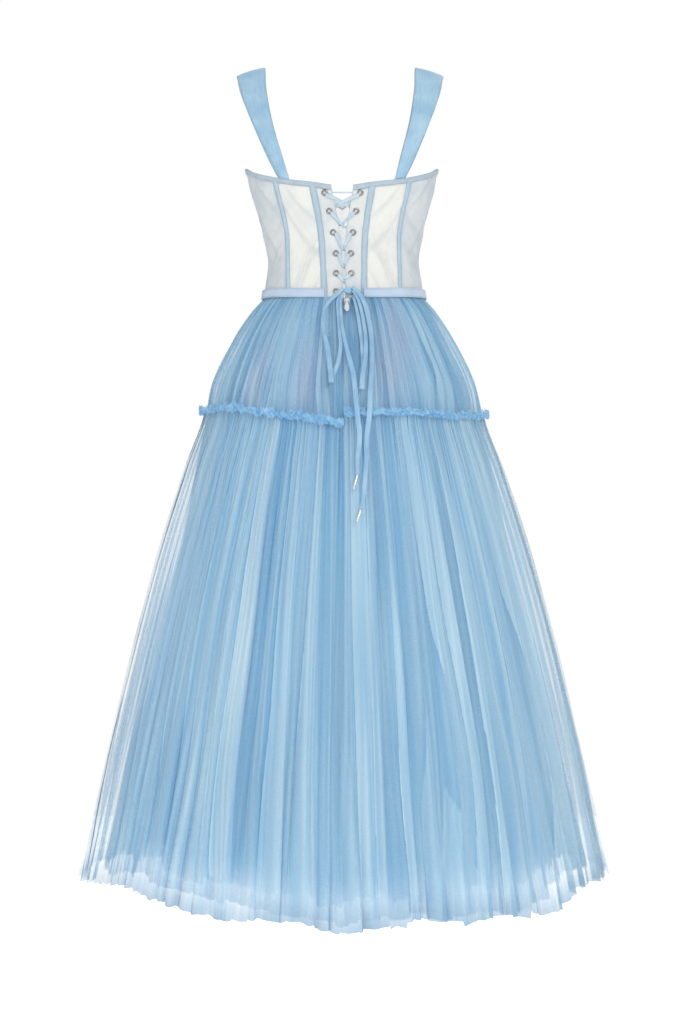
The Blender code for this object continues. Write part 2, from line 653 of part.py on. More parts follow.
def tape(name, seam, bottom, top, rows, side):
    """A boned tape centred on a seam."""
    half = math.degrees(BONE_TAPE_WIDTH / 2 / BODICE[2].half_width)

    def place(offset, height, lift):
        return on_bodice(seam(height) + offset, height, lift, side)

    return cloth_wall(name, BONE_TAPE, place, (-half, half), (bottom, *rows, top), *TAPE_LIFTS)


def bone_tape(name, seam, side):
    bottom = waist_seam(seam(WAIST_SEAM_BACK)) + SEAM_GAP / 2
    top = height_on(BACK_TOP, (seam, seam), 0.0) - BINDING_WIDTH - 3 * SEAM_GAP
    tape(name, seam, bottom, top, BACK_ROWS, side)


def front_bone_tape(word, side):
    """A tape up the front panel, below the fullest part of the cup."""
    def seam(height):
        return turn_at(0.052, height, 1)
    bottom = waist_seam(60) + SEAM_GAP / 2
    top = height_on(UNDER_BUST, (seam, seam), 0.0) - SEAM_GAP
    tape(f"bone_tape_front_{word}", seam, bottom, top, FRONT_ROWS[:2], side)


BINDING_LIFTS = (0.0006, 0.0016)
FRONT_BINDING_LIFTS = (0.0014, 0.0024)


def make_bindings():
    """The folded edging along the top of the bodice."""
    drop = (-BINDING_WIDTH, BINDING_RISE)
    opening = back_seam("opening")
    for side, word in ((1, "right"), (-1, "left")):
        def back_place(share, offset, lift, side=side):
            seams = (opening, side_seam)
            height = height_on(BACK_TOP, seams, share) + offset
            start = opening(height)
            return on_bodice(start - (start + 0.2) * share, height, lift, side)

        shares = [step / 14 for step in range(15)]
        cloth_wall(f"top_binding_back_{word}", BONE_TAPE, back_place, shares, drop, *BINDING_LIFTS)

    def front_place(turn, offset, lift):
        side = 1 if turn <= 90 else -1
        own = turn if side == 1 else 180 - turn
        height = height_on(FRONT_TOP, (lambda _: own, lambda _: own), 0.0) + offset
        return on_bodice(own, height, lift, side)

    turns = [0.2 + 179.6 * step / 34 for step in range(35)]
    cloth_wall("top_binding_front", BONE_TAPE, front_place, turns, drop, *FRONT_BINDING_LIFTS)


WAISTBAND_LIFTS = (0.0020, 0.0037)
WAISTBAND_END_FLARE = 0.0012


def make_waistband():
    """One satin ribbon round the waist, whose two ends stop at the lacing panels and stand a little proud."""
    end = turn_at(0.0285, 0.87, -1)
    columns = 46
    turns = [end + (180 - 2 * end) * step / columns for step in range(columns + 1)]

    def place(turn, offset, lift):
        side = 1 if turn <= 90 else -1
        own = turn if side == 1 else 180 - turn
        if turn in (turns[0], turns[-1]):
            lift += WAISTBAND_END_FLARE
        return on_bodice(own, waist_seam(own) + offset, lift, side)

    cloth_wall("waistband", SATIN, place, turns, (0.0003, WAISTBAND_HEIGHT), *WAISTBAND_LIFTS)


def make_straps():
    for side, word in ((1, "right"), (-1, "left")):
        stations = [
            (in_frame(row.x * side, row.y, row.height), row.width, Vector((side, row.edge_y, row.edge_z)))
            for row in STRAP
        ]
        ribbon(f"strap_{word}", SATIN, stations, TULLE_THICKNESS, -side * STRAP_CROWN, square=False)


def facet_rows(height):
    """The rows of the laced back below and above a height."""
    rows = (WAIST_SEAM_BACK, *BACK_ROWS, 1.0275)
    low = max(row for row in rows[:-1] if row <= height)
    return low, rows[rows.index(low) + 1]


def back_place(x, height, lift):
    """A place on or off the flat facets of the laced back, x from its middle line, either way."""
    side = 1 if x >= 0 else -1
    low, high = facet_rows(height)
    lower, upper = (on_bodice(turn_at(abs(x), row, -1), row, lift, side) for row in (low, high))
    return lower.lerp(upper, (height - low) / (high - low))


def eyelet_frame(x, height):
    """The matrix of an eyelet: its local Z points out of the cloth."""
    step = 0.004
    middle = back_place(x, height, 0.0)
    aside = back_place(x + step, height, 0.0) - back_place(x - step, height, 0.0)
    low, high = facet_rows(height)
    upward = back_place(x, high, 0.0) - back_place(x, low, 0.0)
    outward = aside.cross(upward).normalized()
    aside.normalize()
    frame = Matrix((aside, outward.cross(aside), outward)).transposed().to_4x4()
    return Matrix.Translation(middle) @ frame


def eyelet_profile():
    """The eyelet's section, a C that grips the cloth, as (radius, height) down its outer side and up its bore."""
    top = EYELET_CLEARANCE
    bottom = -MESH_THICKNESS - EYELET_CLEARANCE
    return (
        (EYELET_HOLE, top + EYELET_METAL), (EYELET_FLANGE, top + EYELET_METAL), (EYELET_FLANGE, top),
        (EYELET_BARREL, top), (EYELET_BARREL, bottom), (EYELET_FLANGE, bottom),
        (EYELET_FLANGE, bottom - EYELET_METAL), (EYELET_HOLE, bottom - EYELET_METAL),
    )


def make_eyelets():
    profile = eyelet_profile()
    ring = bpy.data.meshes.new("eyelet profile")
    corners = len(profile)
    ring.from_pydata([(radius, 0.0, z) for radius, z in profile], [(n, (n + 1) % corners) for n in range(corners)], [])
    ring.materials.append(SILVER)
    for side, word in ((1, "right"), (-1, "left")):
        holes = bmesh.new()
        for number, height in enumerate(EYELET_HEIGHTS, 1):
            frame = eyelet_frame(side * along(BACK_SEAMS, height).eyelet, height)
            eyelet = bpy.data.objects.new(f"eyelet_{word}_{number}", ring)
            eyelet.matrix_world = frame
            DRESS.objects.link(eyelet)
            turned = eyelet.modifiers.new("Turned", "SCREW")
            turned.steps = EYELET_SIDES
            turned.render_steps = EYELET_SIDES
            turned.use_merge_vertices = True
            turned.merge_threshold = 0.00001
            turned.use_smooth_shade = False
            cylinder(holes, EYELET_BARREL + 0.0004, 0.012, EYELET_SIDES, frame)
        mesh = bpy.data.meshes.new(f"eyelet_holes_{word}")
        holes.to_mesh(mesh)
        holes.free()
        cutter = new_object(f"eyelet_holes_{word}", mesh, SILVER, CUTTERS)
        combine(bpy.data.objects[f"lacing_panel_{word}"], cutter, "DIFFERENCE")


LACE_OUT = 0.0020
LACE_IN = -0.0040
OUT_OF_CLOTH = Vector((0.0, -1.0, 0.0))
Lace = namedtuple("Lace", "x height lift width upright")


def lace_crossing(side, here, crossing, there, x_here):
    """The lace from over its own panel, at x_here, into the gap at a crossing and in under the other panel."""
    opening = along(BACK_SEAMS, crossing).opening
    if opening > 0.008:
        over = 0.0011 if side == 1 else -0.0005
        return [
            Lace(side * (opening + 0.0010), here - 0.45 * (here - crossing), 0.0014, 0.0046, 0),
            Lace(side * 0.0050, here - 0.78 * (here - crossing), over, LACE_WIDTH, 0),
            Lace(-side * 0.0042, crossing - 0.22 * (crossing - there), over, LACE_WIDTH, 0),
            Lace(-side * (opening - 0.0004), crossing - 0.5 * (crossing - there), -0.0030, 0.0042, 0),
        ]
    level = crossing + side * LACE_STAGGER
    return [
        Lace(side * (opening + 0.0034), level + 0.25 * (here - crossing), 0.0013, 0.0042, 0),
        Lace(side * 0.0006, level, 0.0006, LACE_WIDTH_ON_EDGE, -side),
        Lace(-side * 0.0004, level - 0.0004, -0.0022, LACE_WIDTH_ON_EDGE, -side),
        Lace(-side * (opening + 0.0032), level - 0.25 * (crossing - there), LACE_IN, 0.0032, 0),
    ]


def lace_stations(side):
    """One half of the lace, from the top eyelet of a side down to the knot: out of each eyelet, over its own
    panel, in past the other panel's edge and up through that panel's next eyelet."""
    narrow = LACE_WIDTH_IN_EYELET
    places = []
    if side == -1:
        places += [Lace(x, EYELET_HEIGHTS[0], LACE_IN, narrow, 1) for x in (0.0220, 0.0, -0.0210)]
    for number, crossing in enumerate(CROSSING_HEIGHTS):
        here = EYELET_HEIGHTS[number]
        there = EYELET_HEIGHTS[number + 1]
        x_here = side * along(BACK_SEAMS, here).eyelet
        x_there = -side * along(BACK_SEAMS, there).eyelet
        from_bar = 1 if side == -1 and number == 0 else 0
        places += [
            Lace(x_here, here, LACE_IN, narrow, from_bar),
            Lace(x_here, here, -0.0008, narrow, from_bar),
            Lace(x_here - side * 0.0006, here - 0.0008, LACE_OUT, narrow, 0),
            Lace(x_here - side * 0.0036, here - 0.0044, LACE_OUT, 0.0042, 0),
        ]
        places += lace_crossing(side, here, crossing, there, x_here)
        places.append(Lace(x_there + side * 0.0030, there + 0.0040, LACE_IN, 0.0032, 0))
        side = -side
    last = EYELET_HEIGHTS[-1]
    x_last = side * along(BACK_SEAMS, last).eyelet
    places += [Lace(x_last, last, LACE_IN, narrow, 0), Lace(x_last, last, -0.0008, narrow, 0)]
    if side == -1:
        places += [
            Lace(x_last + 0.0006, last + 0.0002, LACE_OUT, narrow, 0),
            Lace(x_last + 0.0050, last + 0.0004, LACE_OUT, 0.0036, 0),
            Lace(-0.0014, last + 0.0004, LACE_OUT + 0.0016, 0.0036, 0),
        ]
    else:
        places.append(Lace(x_last, last, 0.0010, narrow, 0))
    return places


def make_lace():
    for side, word in ((-1, "left"), (1, "right")):
        places = lace_stations(side)
        points = [back_place(row.x, row.height, row.lift) for row in places]
        stations = []
        for number, row in enumerate(places):
            ahead = points[min(number + 2, len(points) - 1)] - points[max(number - 2, 0)]
            edge = OUT_OF_CLOTH.cross(Vector((ahead.x, 0.0, ahead.z)))
            if row.upright:
                edge = Vector((0.0, 0.0, row.upright))
            stations.append((points[number], row.width, edge))
        ribbon(f"lace_{word}", SATIN, stations, LACE_THICKNESS)


def bow_place(x, height, lift):
    """A place lift outside the cloth that the bow and its tails lie on."""
    depth = along(BOW_BED, height).height
    bed = depth * math.sqrt(1 - (x / max(BOW_BED_HALF_WIDTH, depth)) ** 2)
    return in_frame(x, -bed - lift, height)


def strand_ribbon(name, strands):
    """A ribbon that hangs on the skirt, its width across the view."""
    stations = [(bow_place(row.x, row.height, row.lift), row.width, Vector((1.0, 0.0, 0.0))) for row in strands]
    ribbon(name, SATIN, stations, RIBBON_THICKNESS)


def make_bow():
    x, height, lift = KNOT_PLACE
    middle = back_place(x, height, lift)
    shape = Matrix.Translation(middle) @ Matrix.Diagonal((*KNOT_RADII, 1.0))
    knot = primitive(
        "bow_knot", SATIN, lambda mesh: bmesh.ops.create_uvsphere(mesh, u_segments=12, v_segments=7, radius=1.0), shape,
    )
    knot.data.shade_smooth()
    for name, strands in (
        ("bow_loop_left", LOOP_LEFT), ("bow_loop_right", LOOP_RIGHT),
        ("bow_tail_left", TAIL_LEFT), ("bow_tail_right", TAIL_RIGHT),
    ):
        strand_ribbon(name, strands)
    for name, (top, tip) in (("aglet_left", AGLET_LEFT), ("aglet_right", AGLET_RIGHT)):
        start = bow_place(top.x, top.height, top.lift)
        end = bow_place(tip.x, tip.height, tip.lift)
        turn = (end - start).to_track_quat("Z", "Y").to_matrix().to_4x4()
        place = Matrix.Translation((start + end) / 2) @ turn
        length = (end - start).length
        primitive(
            name, SILVER,
            lambda mesh, length=length, top=top, tip=tip: cylinder(mesh, top.width / 2, length, 10, tip=tip.width / 2),
            place,
        )


def box_at(size, middle):
    return Matrix.Translation(middle) @ Matrix.Diagonal((*size, 1.0))


ACROSS = Matrix.Rotation(math.radians(90), 4, "Y")


def make_zip():
    """The zip's slider below the waist seam, with a pull tab that swings on the slider's pin."""
    lie = Matrix.Rotation(math.radians(-ZIP_SLOPE), 4, "X")
    seat = Matrix.Translation(bow_place(ZIP_X, ZIP_HEIGHT, -ZIP_SINK)) @ lie
    width, base, tall = SLIDER_SIZE
    back = ZIP_CLEARANCE + base
    pin = Vector((0.0, -back - PIN_RISE / 2, -PIN_DROP))

    def block(name, size, middle, collection):
        return primitive(name, SILVER, lambda mesh: bmesh.ops.create_cube(mesh, size=1.0), seat @ box_at(size, middle), collection)

    def pin_like(name, radius, length, sides):
        return primitive(
            name, SILVER, lambda mesh: cylinder(mesh, radius, length, sides), seat @ Matrix.Translation(pin) @ ACROSS, CUTTERS,
        )

    slider = block("zip_slider", SLIDER_SIZE, (0.0, -ZIP_CLEARANCE - base / 2, 0.0), None)
    ear_depth = EAR_BLOCK[1]
    ears = block("slider_ears", EAR_BLOCK, (0.0, -back - ear_depth / 2 + 0.0003, -PIN_DROP), CUTTERS)
    slot = block("slider_slot", (EAR_SLOT, 0.010, 0.008), (0.0, -back - 0.005, -PIN_DROP), CUTTERS)
    combine(slider, ears, "UNION")
    combine(slider, slot, "DIFFERENCE")
    combine(slider, pin_like("slider_pin", PIN_RADIUS, EAR_BLOCK[0] - 0.0004, 12), "UNION")

    def tab_place(side, row, lift):
        return Vector((side * row.half_width, lift, -row.distance))

    tab = cloth_wall("zip_pull_tab", SILVER, tab_place, (-1.0, 1.0), PULL_TAB, -TAB_THICKNESS / 2, TAB_THICKNESS / 2)
    tab.matrix_world = seat @ Matrix.Translation(pin)
    combine(tab, pin_like("tab_barrel", BARREL_RADIUS, BARREL_LENGTH, 14), "UNION")
    combine(tab, pin_like("tab_bore", BARREL_BORE, BARREL_LENGTH * 2, 12), "DIFFERENCE")


make_skirt()
for body_side, body_word in ((1, "right"), (-1, "left")):
    make_bodice(body_side, body_word)
make_front_panel()
make_bindings()
make_waistband()
make_straps()
make_eyelets()
make_lace()
make_bow()
make_zip()
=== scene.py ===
"""The looks of the sky-blue corset dress: gathered net, sheer mesh, satin, ribbon and silvered metal.

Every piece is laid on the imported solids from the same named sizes. +X is the wearer's right, +Y the wearer's
front, and heights in the tables are counted up from the lowest point of the hem, in metres.
"""

import math
from collections import namedtuple

import bpy
import numpy as np
from mathutils import Matrix, Vector


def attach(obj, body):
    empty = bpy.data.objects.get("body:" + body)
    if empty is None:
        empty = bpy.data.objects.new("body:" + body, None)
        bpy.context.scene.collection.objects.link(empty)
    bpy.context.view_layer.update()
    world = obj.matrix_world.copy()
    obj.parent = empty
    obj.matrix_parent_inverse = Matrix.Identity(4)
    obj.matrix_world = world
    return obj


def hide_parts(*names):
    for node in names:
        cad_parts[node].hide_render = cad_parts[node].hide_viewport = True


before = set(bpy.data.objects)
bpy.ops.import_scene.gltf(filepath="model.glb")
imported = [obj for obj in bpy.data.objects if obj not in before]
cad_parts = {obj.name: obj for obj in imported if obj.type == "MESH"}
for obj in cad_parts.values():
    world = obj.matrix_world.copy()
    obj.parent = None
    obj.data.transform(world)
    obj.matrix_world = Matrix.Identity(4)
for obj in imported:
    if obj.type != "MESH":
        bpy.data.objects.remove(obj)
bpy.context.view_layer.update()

SHOULDER_HEIGHT = 1.212
LEAN_START = 0.88
LEAN_SLOPE = 0.018
BODY_SQUARENESS = 2.25

Ring = namedtuple("Ring", "height half_width half_depth fold_depth squareness")
BodySection = namedtuple("BodySection", "height half_width back_depth front_depth")
BackSeams = namedtuple("BackSeams", "height opening eyelet bone_inner bone_outer")
Edge = namedtuple("Edge", "place height")
StrapStation = namedtuple("StrapStation", "x y height width edge_y edge_z")
Strand = namedtuple("Strand", "x height lift width")

BODICE = (
    BodySection(0.862, 0.1212, 0.0900, 0.0920),
    BodySection(0.889, 0.1178, 0.0875, 0.0890),
    BodySection(0.925, 0.1128, 0.0850, 0.0870),
    BodySection(0.955, 0.1175, 0.0885, 0.0950),
    BodySection(0.990, 0.1247, 0.0930, 0.1080),
    BodySection(1.030, 0.1370, 0.0985, 0.1170),
    BodySection(1.066, 0.1440, 0.1010, 0.1130),
)
BACK_SEAMS = (
    BackSeams(0.862, 0.0016, 0.0123, 0.0290, 0.0815),
    BackSeams(0.900, 0.0016, 0.0109, 0.0297, 0.0820),
    BackSeams(0.929, 0.0016, 0.0109, 0.0307, 0.0818),
    BackSeams(0.959, 0.0038, 0.0144, 0.0325, 0.0822),
    BackSeams(0.990, 0.0091, 0.0196, 0.0370, 0.0875),
    BackSeams(1.021, 0.0150, 0.0271, 0.0425, 0.0950),
    BackSeams(1.040, 0.0180, 0.0310, 0.0450, 0.0985),
)
FRONT_SEAM = (Edge(0.862, 0.094), Edge(0.960, 0.100), Edge(1.066, 0.108))
BACK_TOP = (
    Edge(0.014, 1.026), Edge(0.043, 1.031), Edge(0.085, 1.0375), Edge(0.115, 1.046), Edge(0.132, 1.054),
    Edge(0.1437, 1.0645),
)
FRONT_TOP = (
    Edge(0.0, 1.030), Edge(0.016, 1.040), Edge(0.05, 1.058), Edge(0.09, 1.064), Edge(0.12, 1.058),
    Edge(0.1437, 1.0645),
)
UNDER_BUST = (Edge(0.0, 0.976), Edge(0.04, 0.964), Edge(0.08, 0.962), Edge(0.11, 0.962))
CUP_DEPTH = 0.016
CUP_MIDDLE = (0.068, 1.005)
CUP_SPREAD = (0.040, 0.036)

WAIST_SEAM_BACK = 0.8640
WAIST_SEAM_SIDE = 0.8700
WAIST_SEAM_FRONT = 0.8660
UPPER_TIER = (
    Ring(0.866, 0.1195, 0.0915, 0.0010, 2.20),
    Ring(0.845, 0.1380, 0.1055, 0.0025, 2.15),
    Ring(0.800, 0.1665, 0.1440, 0.0035, 2.05),
    Ring(0.740, 0.1945, 0.1820, 0.0040, 2.00),
    Ring(0.690, 0.2056, 0.1982, 0.0010, 2.00),
)
LOWER_TIER = (
    Ring(0.693, 0.2081, 0.2007, 0.0008, 2.00),
    Ring(0.672, 0.2125, 0.2051, 0.0025, 2.00),
    Ring(0.610, 0.2355, 0.2300, 0.0055, 2.00),
    Ring(0.450, 0.2845, 0.2790, 0.0070, 2.00),
    Ring(0.220, 0.3425, 0.3380, 0.0090, 2.00),
    Ring(0.000, 0.3885, 0.3860, 0.0110, 2.00),
)
UNDER_SKIRT = (
    Ring(0.866, 0.1168, 0.0888, 0.0, 2.20),
    Ring(0.845, 0.1325, 0.1000, 0.0005, 2.15),
    Ring(0.800, 0.1580, 0.1355, 0.0015, 2.05),
    Ring(0.700, 0.1880, 0.1800, 0.0020, 2.00),
    Ring(0.450, 0.2600, 0.2550, 0.0030, 2.00),
    Ring(0.045, 0.3450, 0.3420, 0.0040, 2.00),
)
TIER_SEAM_LEFT = (
    Edge(-180, 0.700), Edge(-135, 0.702), Edge(-90, 0.703), Edge(-45, 0.702), Edge(-30, 0.6915),
    Edge(-10, 0.683), Edge(0, 0.677),
)
TIER_SEAM_RIGHT = (
    Edge(0, 0.690), Edge(10, 0.693), Edge(25, 0.692), Edge(45, 0.690), Edge(60, 0.692), Edge(90, 0.698),
    Edge(135, 0.700), Edge(180, 0.700),
)
HEM = (
    Edge(-180, 0.010), Edge(-140, 0.018), Edge(-100, 0.014), Edge(-75, 0.018), Edge(-52, 0.036),
    Edge(-43, 0.026), Edge(-34, 0.021), Edge(-21, 0.014), Edge(-9, 0.012), Edge(0, 0.004), Edge(14, 0.014),
    Edge(22, 0.007), Edge(33, 0.014), Edge(44, 0.002), Edge(51, 0.006), Edge(58, 0.027), Edge(75, 0.022),
    Edge(100, 0.012), Edge(140, 0.006), Edge(180, 0.010),
)
UPPER_FOLDS = 60
LOWER_FOLDS = 64
UNDER_FOLDS = 24
FOLD_UNEVENNESS = 0.35

STRAP = (
    StrapStation(0.0842, -0.0830, 1.0390, 0.0172, 0.477, 0.226),
    StrapStation(0.0895, -0.0808, 1.0530, 0.0185, 0.42, 0.08),
    StrapStation(0.1003, -0.0740, 1.0823, 0.0225, 0.30, -0.03),
    StrapStation(0.1151, -0.0580, 1.1233, 0.0280, 0.22, -0.08),
    StrapStation(0.1225, -0.0450, 1.1489, 0.0335, 0.15, -0.14),
    StrapStation(0.1290, -0.0280, 1.1787, 0.0375, 0.08, -0.22),
    StrapStation(0.1325, -0.0100, 1.2040, 0.0425, 0.03, -0.28),
    StrapStation(0.1340, 0.0050, 1.2130, 0.0450, 0.0, -0.31),
    StrapStation(0.1335, 0.0200, 1.2085, 0.0440, -0.03, -0.28),
    StrapStation(0.1316, 0.0420, 1.1900, 0.0400, -0.10, -0.20),
    StrapStation(0.1205, 0.0700, 1.1500, 0.0320, -0.20, -0.10),
    StrapStation(0.1027, 0.0890, 1.1000, 0.0250, -0.30, -0.03),
    StrapStation(0.0895, 0.0940, 1.0657, 0.0180, -0.55, 0.0),
)

EYELET_HEIGHTS = (1.0158, 0.9895, 0.9590, 0.9290, 0.8998, 0.8731)
CROSSING_HEIGHTS = (1.0016, 0.9703, 0.9369, 0.9114, 0.8896)
EYELET_RING_RADIUS = 0.0034
EYELET_WIRE_RADIUS = 0.00135
EYELET_FLATNESS = 0.7
EYELET_LIFTS = (0.0004, -0.0014)  # the ring outside the cloth and its rolled edge inside

BOW_BED = (
    Edge(0.450, 0.287), Edge(0.610, 0.2370), Edge(0.672, 0.2150), Edge(0.684, 0.2140), Edge(0.700, 0.2128),
    Edge(0.712, 0.2040), Edge(0.740, 0.1870), Edge(0.800, 0.1484), Edge(0.845, 0.1090), Edge(0.864, 0.0948),
    Edge(0.880, 0.0905),
)
BOW_BED_HALF_WIDTH = 0.20
LOOP_LEFT = (
    Strand(-0.0014, 0.8762, 0.0036, 0.0050), Strand(-0.0100, 0.8690, 0.0052, 0.0058),
    Strand(-0.0192, 0.8598, 0.0050, 0.0052), Strand(-0.0282, 0.8456, 0.0030, 0.0042),
    Strand(-0.0310, 0.8314, 0.0018, 0.0040), Strand(-0.0296, 0.8126, 0.0014, 0.0052),
    Strand(-0.0242, 0.7882, 0.0016, 0.0066), Strand(-0.0204, 0.7603, 0.0036, 0.0070),
    Strand(-0.0186, 0.7420, 0.0050, 0.0070), Strand(-0.0180, 0.7362, 0.0046, 0.0070),
    Strand(-0.0178, 0.7342, 0.0031, 0.0068), Strand(-0.0175, 0.7362, 0.0018, 0.0062),
    Strand(-0.0158, 0.7430, 0.0014, 0.0056), Strand(-0.0120, 0.7540, 0.0014, 0.0056),
    Strand(-0.0081, 0.7658, 0.0014, 0.0056), Strand(-0.0051, 0.7882, 0.0014, 0.0050),
    Strand(-0.0062, 0.8055, 0.0014, 0.0048), Strand(-0.0082, 0.8348, 0.0014, 0.0046),
    Strand(-0.0092, 0.8560, 0.0014, 0.0044), Strand(-0.0060, 0.8655, 0.0016, 0.0040),
)
TAIL_LEFT = (
    Strand(-0.0012, 0.8690, 0.0040, 0.0040), Strand(-0.0045, 0.8600, 0.0040, 0.0040),
    Strand(-0.0048, 0.8480, 0.0036, 0.0040), Strand(-0.0040, 0.8340, 0.0032, 0.0042),
    Strand(-0.0029, 0.8200, 0.0031, 0.0044), Strand(0.0004, 0.7996, 0.0030, 0.0050),
    Strand(0.0057, 0.7762, 0.0018, 0.0060), Strand(0.0121, 0.7495, 0.0014, 0.0070),
    Strand(0.0150, 0.7280, 0.0014, 0.0072), Strand(0.0168, 0.7080, 0.0014, 0.0072),
    Strand(0.0185, 0.6860, 0.0014, 0.0072), Strand(0.0215, 0.6640, 0.0014, 0.0070),
    Strand(0.0207, 0.6436, 0.0014, 0.0068), Strand(0.0186, 0.6268, 0.0014, 0.0062),
    Strand(0.0184, 0.6101, 0.0014, 0.0054), Strand(0.0182, 0.6030, 0.0018, 0.0046),
)
LOOP_RIGHT = (
    Strand(0.0126, 0.8740, 0.0046, 0.0048), Strand(0.0180, 0.8660, 0.0040, 0.0048),
    Strand(0.0228, 0.8525, 0.0034, 0.0048), Strand(0.0274, 0.8289, 0.0036, 0.0050),
    Strand(0.0302, 0.8064, 0.0039, 0.0054), Strand(0.0308, 0.7822, 0.0042, 0.0058),
    Strand(0.0283, 0.7599, 0.0044, 0.0066), Strand(0.0256, 0.7400, 0.0048, 0.0070),
    Strand(0.0250, 0.7270, 0.0046, 0.0070), Strand(0.0249, 0.7245, 0.0031, 0.0068),
    Strand(0.0250, 0.7270, 0.0018, 0.0066), Strand(0.0256, 0.7400, 0.0014, 0.0060),
    Strand(0.0266, 0.7603, 0.0014, 0.0056), Strand(0.0254, 0.7897, 0.0014, 0.0052),
    Strand(0.0229, 0.8126, 0.0014, 0.0050), Strand(0.0198, 0.8361, 0.0014, 0.0046),
    Strand(0.0163, 0.8540, 0.0014, 0.0042), Strand(0.0138, 0.8640, 0.0016, 0.0040),
)
TAIL_RIGHT = (
    Strand(0.0124, 0.8790, 0.0060, 0.0050), Strand(0.0220, 0.8690, 0.0062, 0.0060),
    Strand(0.0298, 0.8540, 0.0052, 0.0064), Strand(0.0353, 0.8300, 0.0034, 0.0068),
    Strand(0.0384, 0.8060, 0.0018, 0.0070), Strand(0.0393, 0.7822, 0.0014, 0.0070),
    Strand(0.0387, 0.7525, 0.0014, 0.0070), Strand(0.0372, 0.7275, 0.0014, 0.0072),
    Strand(0.0360, 0.7060, 0.0014, 0.0072), Strand(0.0348, 0.6843, 0.0014, 0.0072),
    Strand(0.0320, 0.6618, 0.0014, 0.0070), Strand(0.0312, 0.6450, 0.0014, 0.0068),
    Strand(0.0310, 0.6268, 0.0014, 0.0068), Strand(0.0296, 0.6073, 0.0014, 0.0066),
    Strand(0.0281, 0.5892, 0.0014, 0.0062), Strand(0.0261, 0.5713, 0.0014, 0.0056),
    Strand(0.0228, 0.5555, 0.0018, 0.0046),
)
AGLET_LEFT = (Strand(0.0181, 0.6022, 0.0026, 0.0044), Strand(0.0127, 0.5830, 0.0034, 0.0028))
AGLET_RIGHT = (Strand(0.0225, 0.5547, 0.0026, 0.0044), Strand(0.0171, 0.5380, 0.0034, 0.0028))


# Curves and tables


def along(rows, at):
    """A table's row at any value of its first column, on a smooth curve through the rows on each side."""
    if at <= rows[0][0]:
        return rows[0]
    if at >= rows[-1][0]:
        return rows[-1]
    first = max(index for index in range(len(rows) - 1) if rows[index][0] <= at)
    before = rows[max(first - 1, 0)]
    here = rows[first]
    there = rows[first + 1]
    after = rows[min(first + 2, len(rows) - 1)]
    span = there[0] - here[0]
    t = (at - here[0]) / span

    def value(column):
        slope_here = (there[column] - before[column]) / (there[0] - before[0]) * span
        slope_there = (after[column] - here[column]) / (after[0] - here[0]) * span
        return (
            (2 * t**3 - 3 * t**2 + 1) * here[column]
            + (t**3 - 2 * t**2 + t) * slope_here
            + (3 * t**2 - 2 * t**3) * there[column]
            + (t**3 - t**2) * slope_there
        )

    return type(here)(*(value(column) for column in range(len(here))))


def edge_height(rows, at):
    """Heights of an edge that may step, on straight lines between its rows."""
    return np.interp(at, [row.place for row in rows], [row.height for row in rows])


def in_frame(x, y, height):
    """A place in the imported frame. The bodice leans a little to the wearer's left above the waist."""
    lean = LEAN_SLOPE * max(0.0, height - LEAN_START)
    return Vector((x - lean, y, height - SHOULDER_HEIGHT))


def oval(turn, half_width, half_depth, squareness):
    """A point of a rounded oval and its outward direction. turn is in degrees from +X, anticlockwise."""
    across = math.cos(math.radians(turn))
    ahead = math.sin(math.radians(turn))
    power = 2 / squareness
    point = Vector((
        half_width * math.copysign(abs(across) ** power, across),
        half_depth * math.copysign(abs(ahead) ** power, ahead),
        0.0,
    ))
    outward = Vector((
        math.copysign(abs(across) ** (2 - power), across) / half_width,
        math.copysign(abs(ahead) ** (2 - power), ahead) / half_depth,
        0.0,
    ))
    return point, outward.normalized()


def uneven(number, phase):
    """A steady, uneven value between -1 and 1 for each fold."""
    return 0.6 * math.sin(2.4 * number + phase) + 0.4 * math.sin(5.1 * number + 2.0 * phase)


def waist_seam(turn):
    """Height of the waist seam all round."""
    side = np.cos(np.radians(turn)) ** 2
    middle = np.where(np.sin(np.radians(turn)) > 0, WAIST_SEAM_FRONT, WAIST_SEAM_BACK)
    return middle + (WAIST_SEAM_SIDE - middle) * side


# Materials

# Patterns, in cells per metre across and along the cloth. Gathers about 2 mm apart run down the cloth.
FINE_GATHERS = (430.0, 4.0, 1.0)
BROAD_GATHERS = (62.0, 1.6, 1.0)
# The net's real holes are 1.3 mm across, too fine to show from here, so they are drawn at 2.4 mm.
NET_HOLES = (420.0, 420.0, 1.0)
CORSET_MESH_HOLES = (700.0, 700.0, 1.0)
SATIN_FLOATS = (40.0, 900.0, 1.0)
WAVE_TURN = 6.3  # a Wave Texture's bands at scale 1, per unit of length
CREASE_SHADE = "#b9bfc2"
THREAD_COVER = 0.04
FOLD_COVER = 0.42


def linear(colour):
    """Linear red, green, blue and alpha of an sRGB hex colour."""
    channels = [int(colour[place : place + 2], 16) / 255 for place in (1, 3, 5)]
    return (*(c / 12.92 if c <= 0.04045 else ((c + 0.055) / 1.055) ** 2.4 for c in channels), 1.0)


def give(tree, node, inputs):
    """Gives a node's inputs their values, or the sockets they are linked from, by name or in their order."""
    for name, value in inputs.items() if isinstance(inputs, dict) else enumerate(inputs):
        if isinstance(value, bpy.types.NodeSocket):
            tree.links.new(value, node.inputs[name])
        else:
            node.inputs[name].default_value = value


def add(tree, kind, inputs=(), **settings):
    """Adds a node with its settings and inputs."""
    node = tree.nodes.new(kind)
    for name, value in settings.items():
        setattr(node, name, value)
    give(tree, node, inputs)
    return node


def new_material(name):
    """A material with its tree and its Principled shader."""
    made = bpy.data.materials.new(name)
    made.use_nodes = True
    tree = made.node_tree
    return made, tree, tree.nodes["Principled BSDF"]


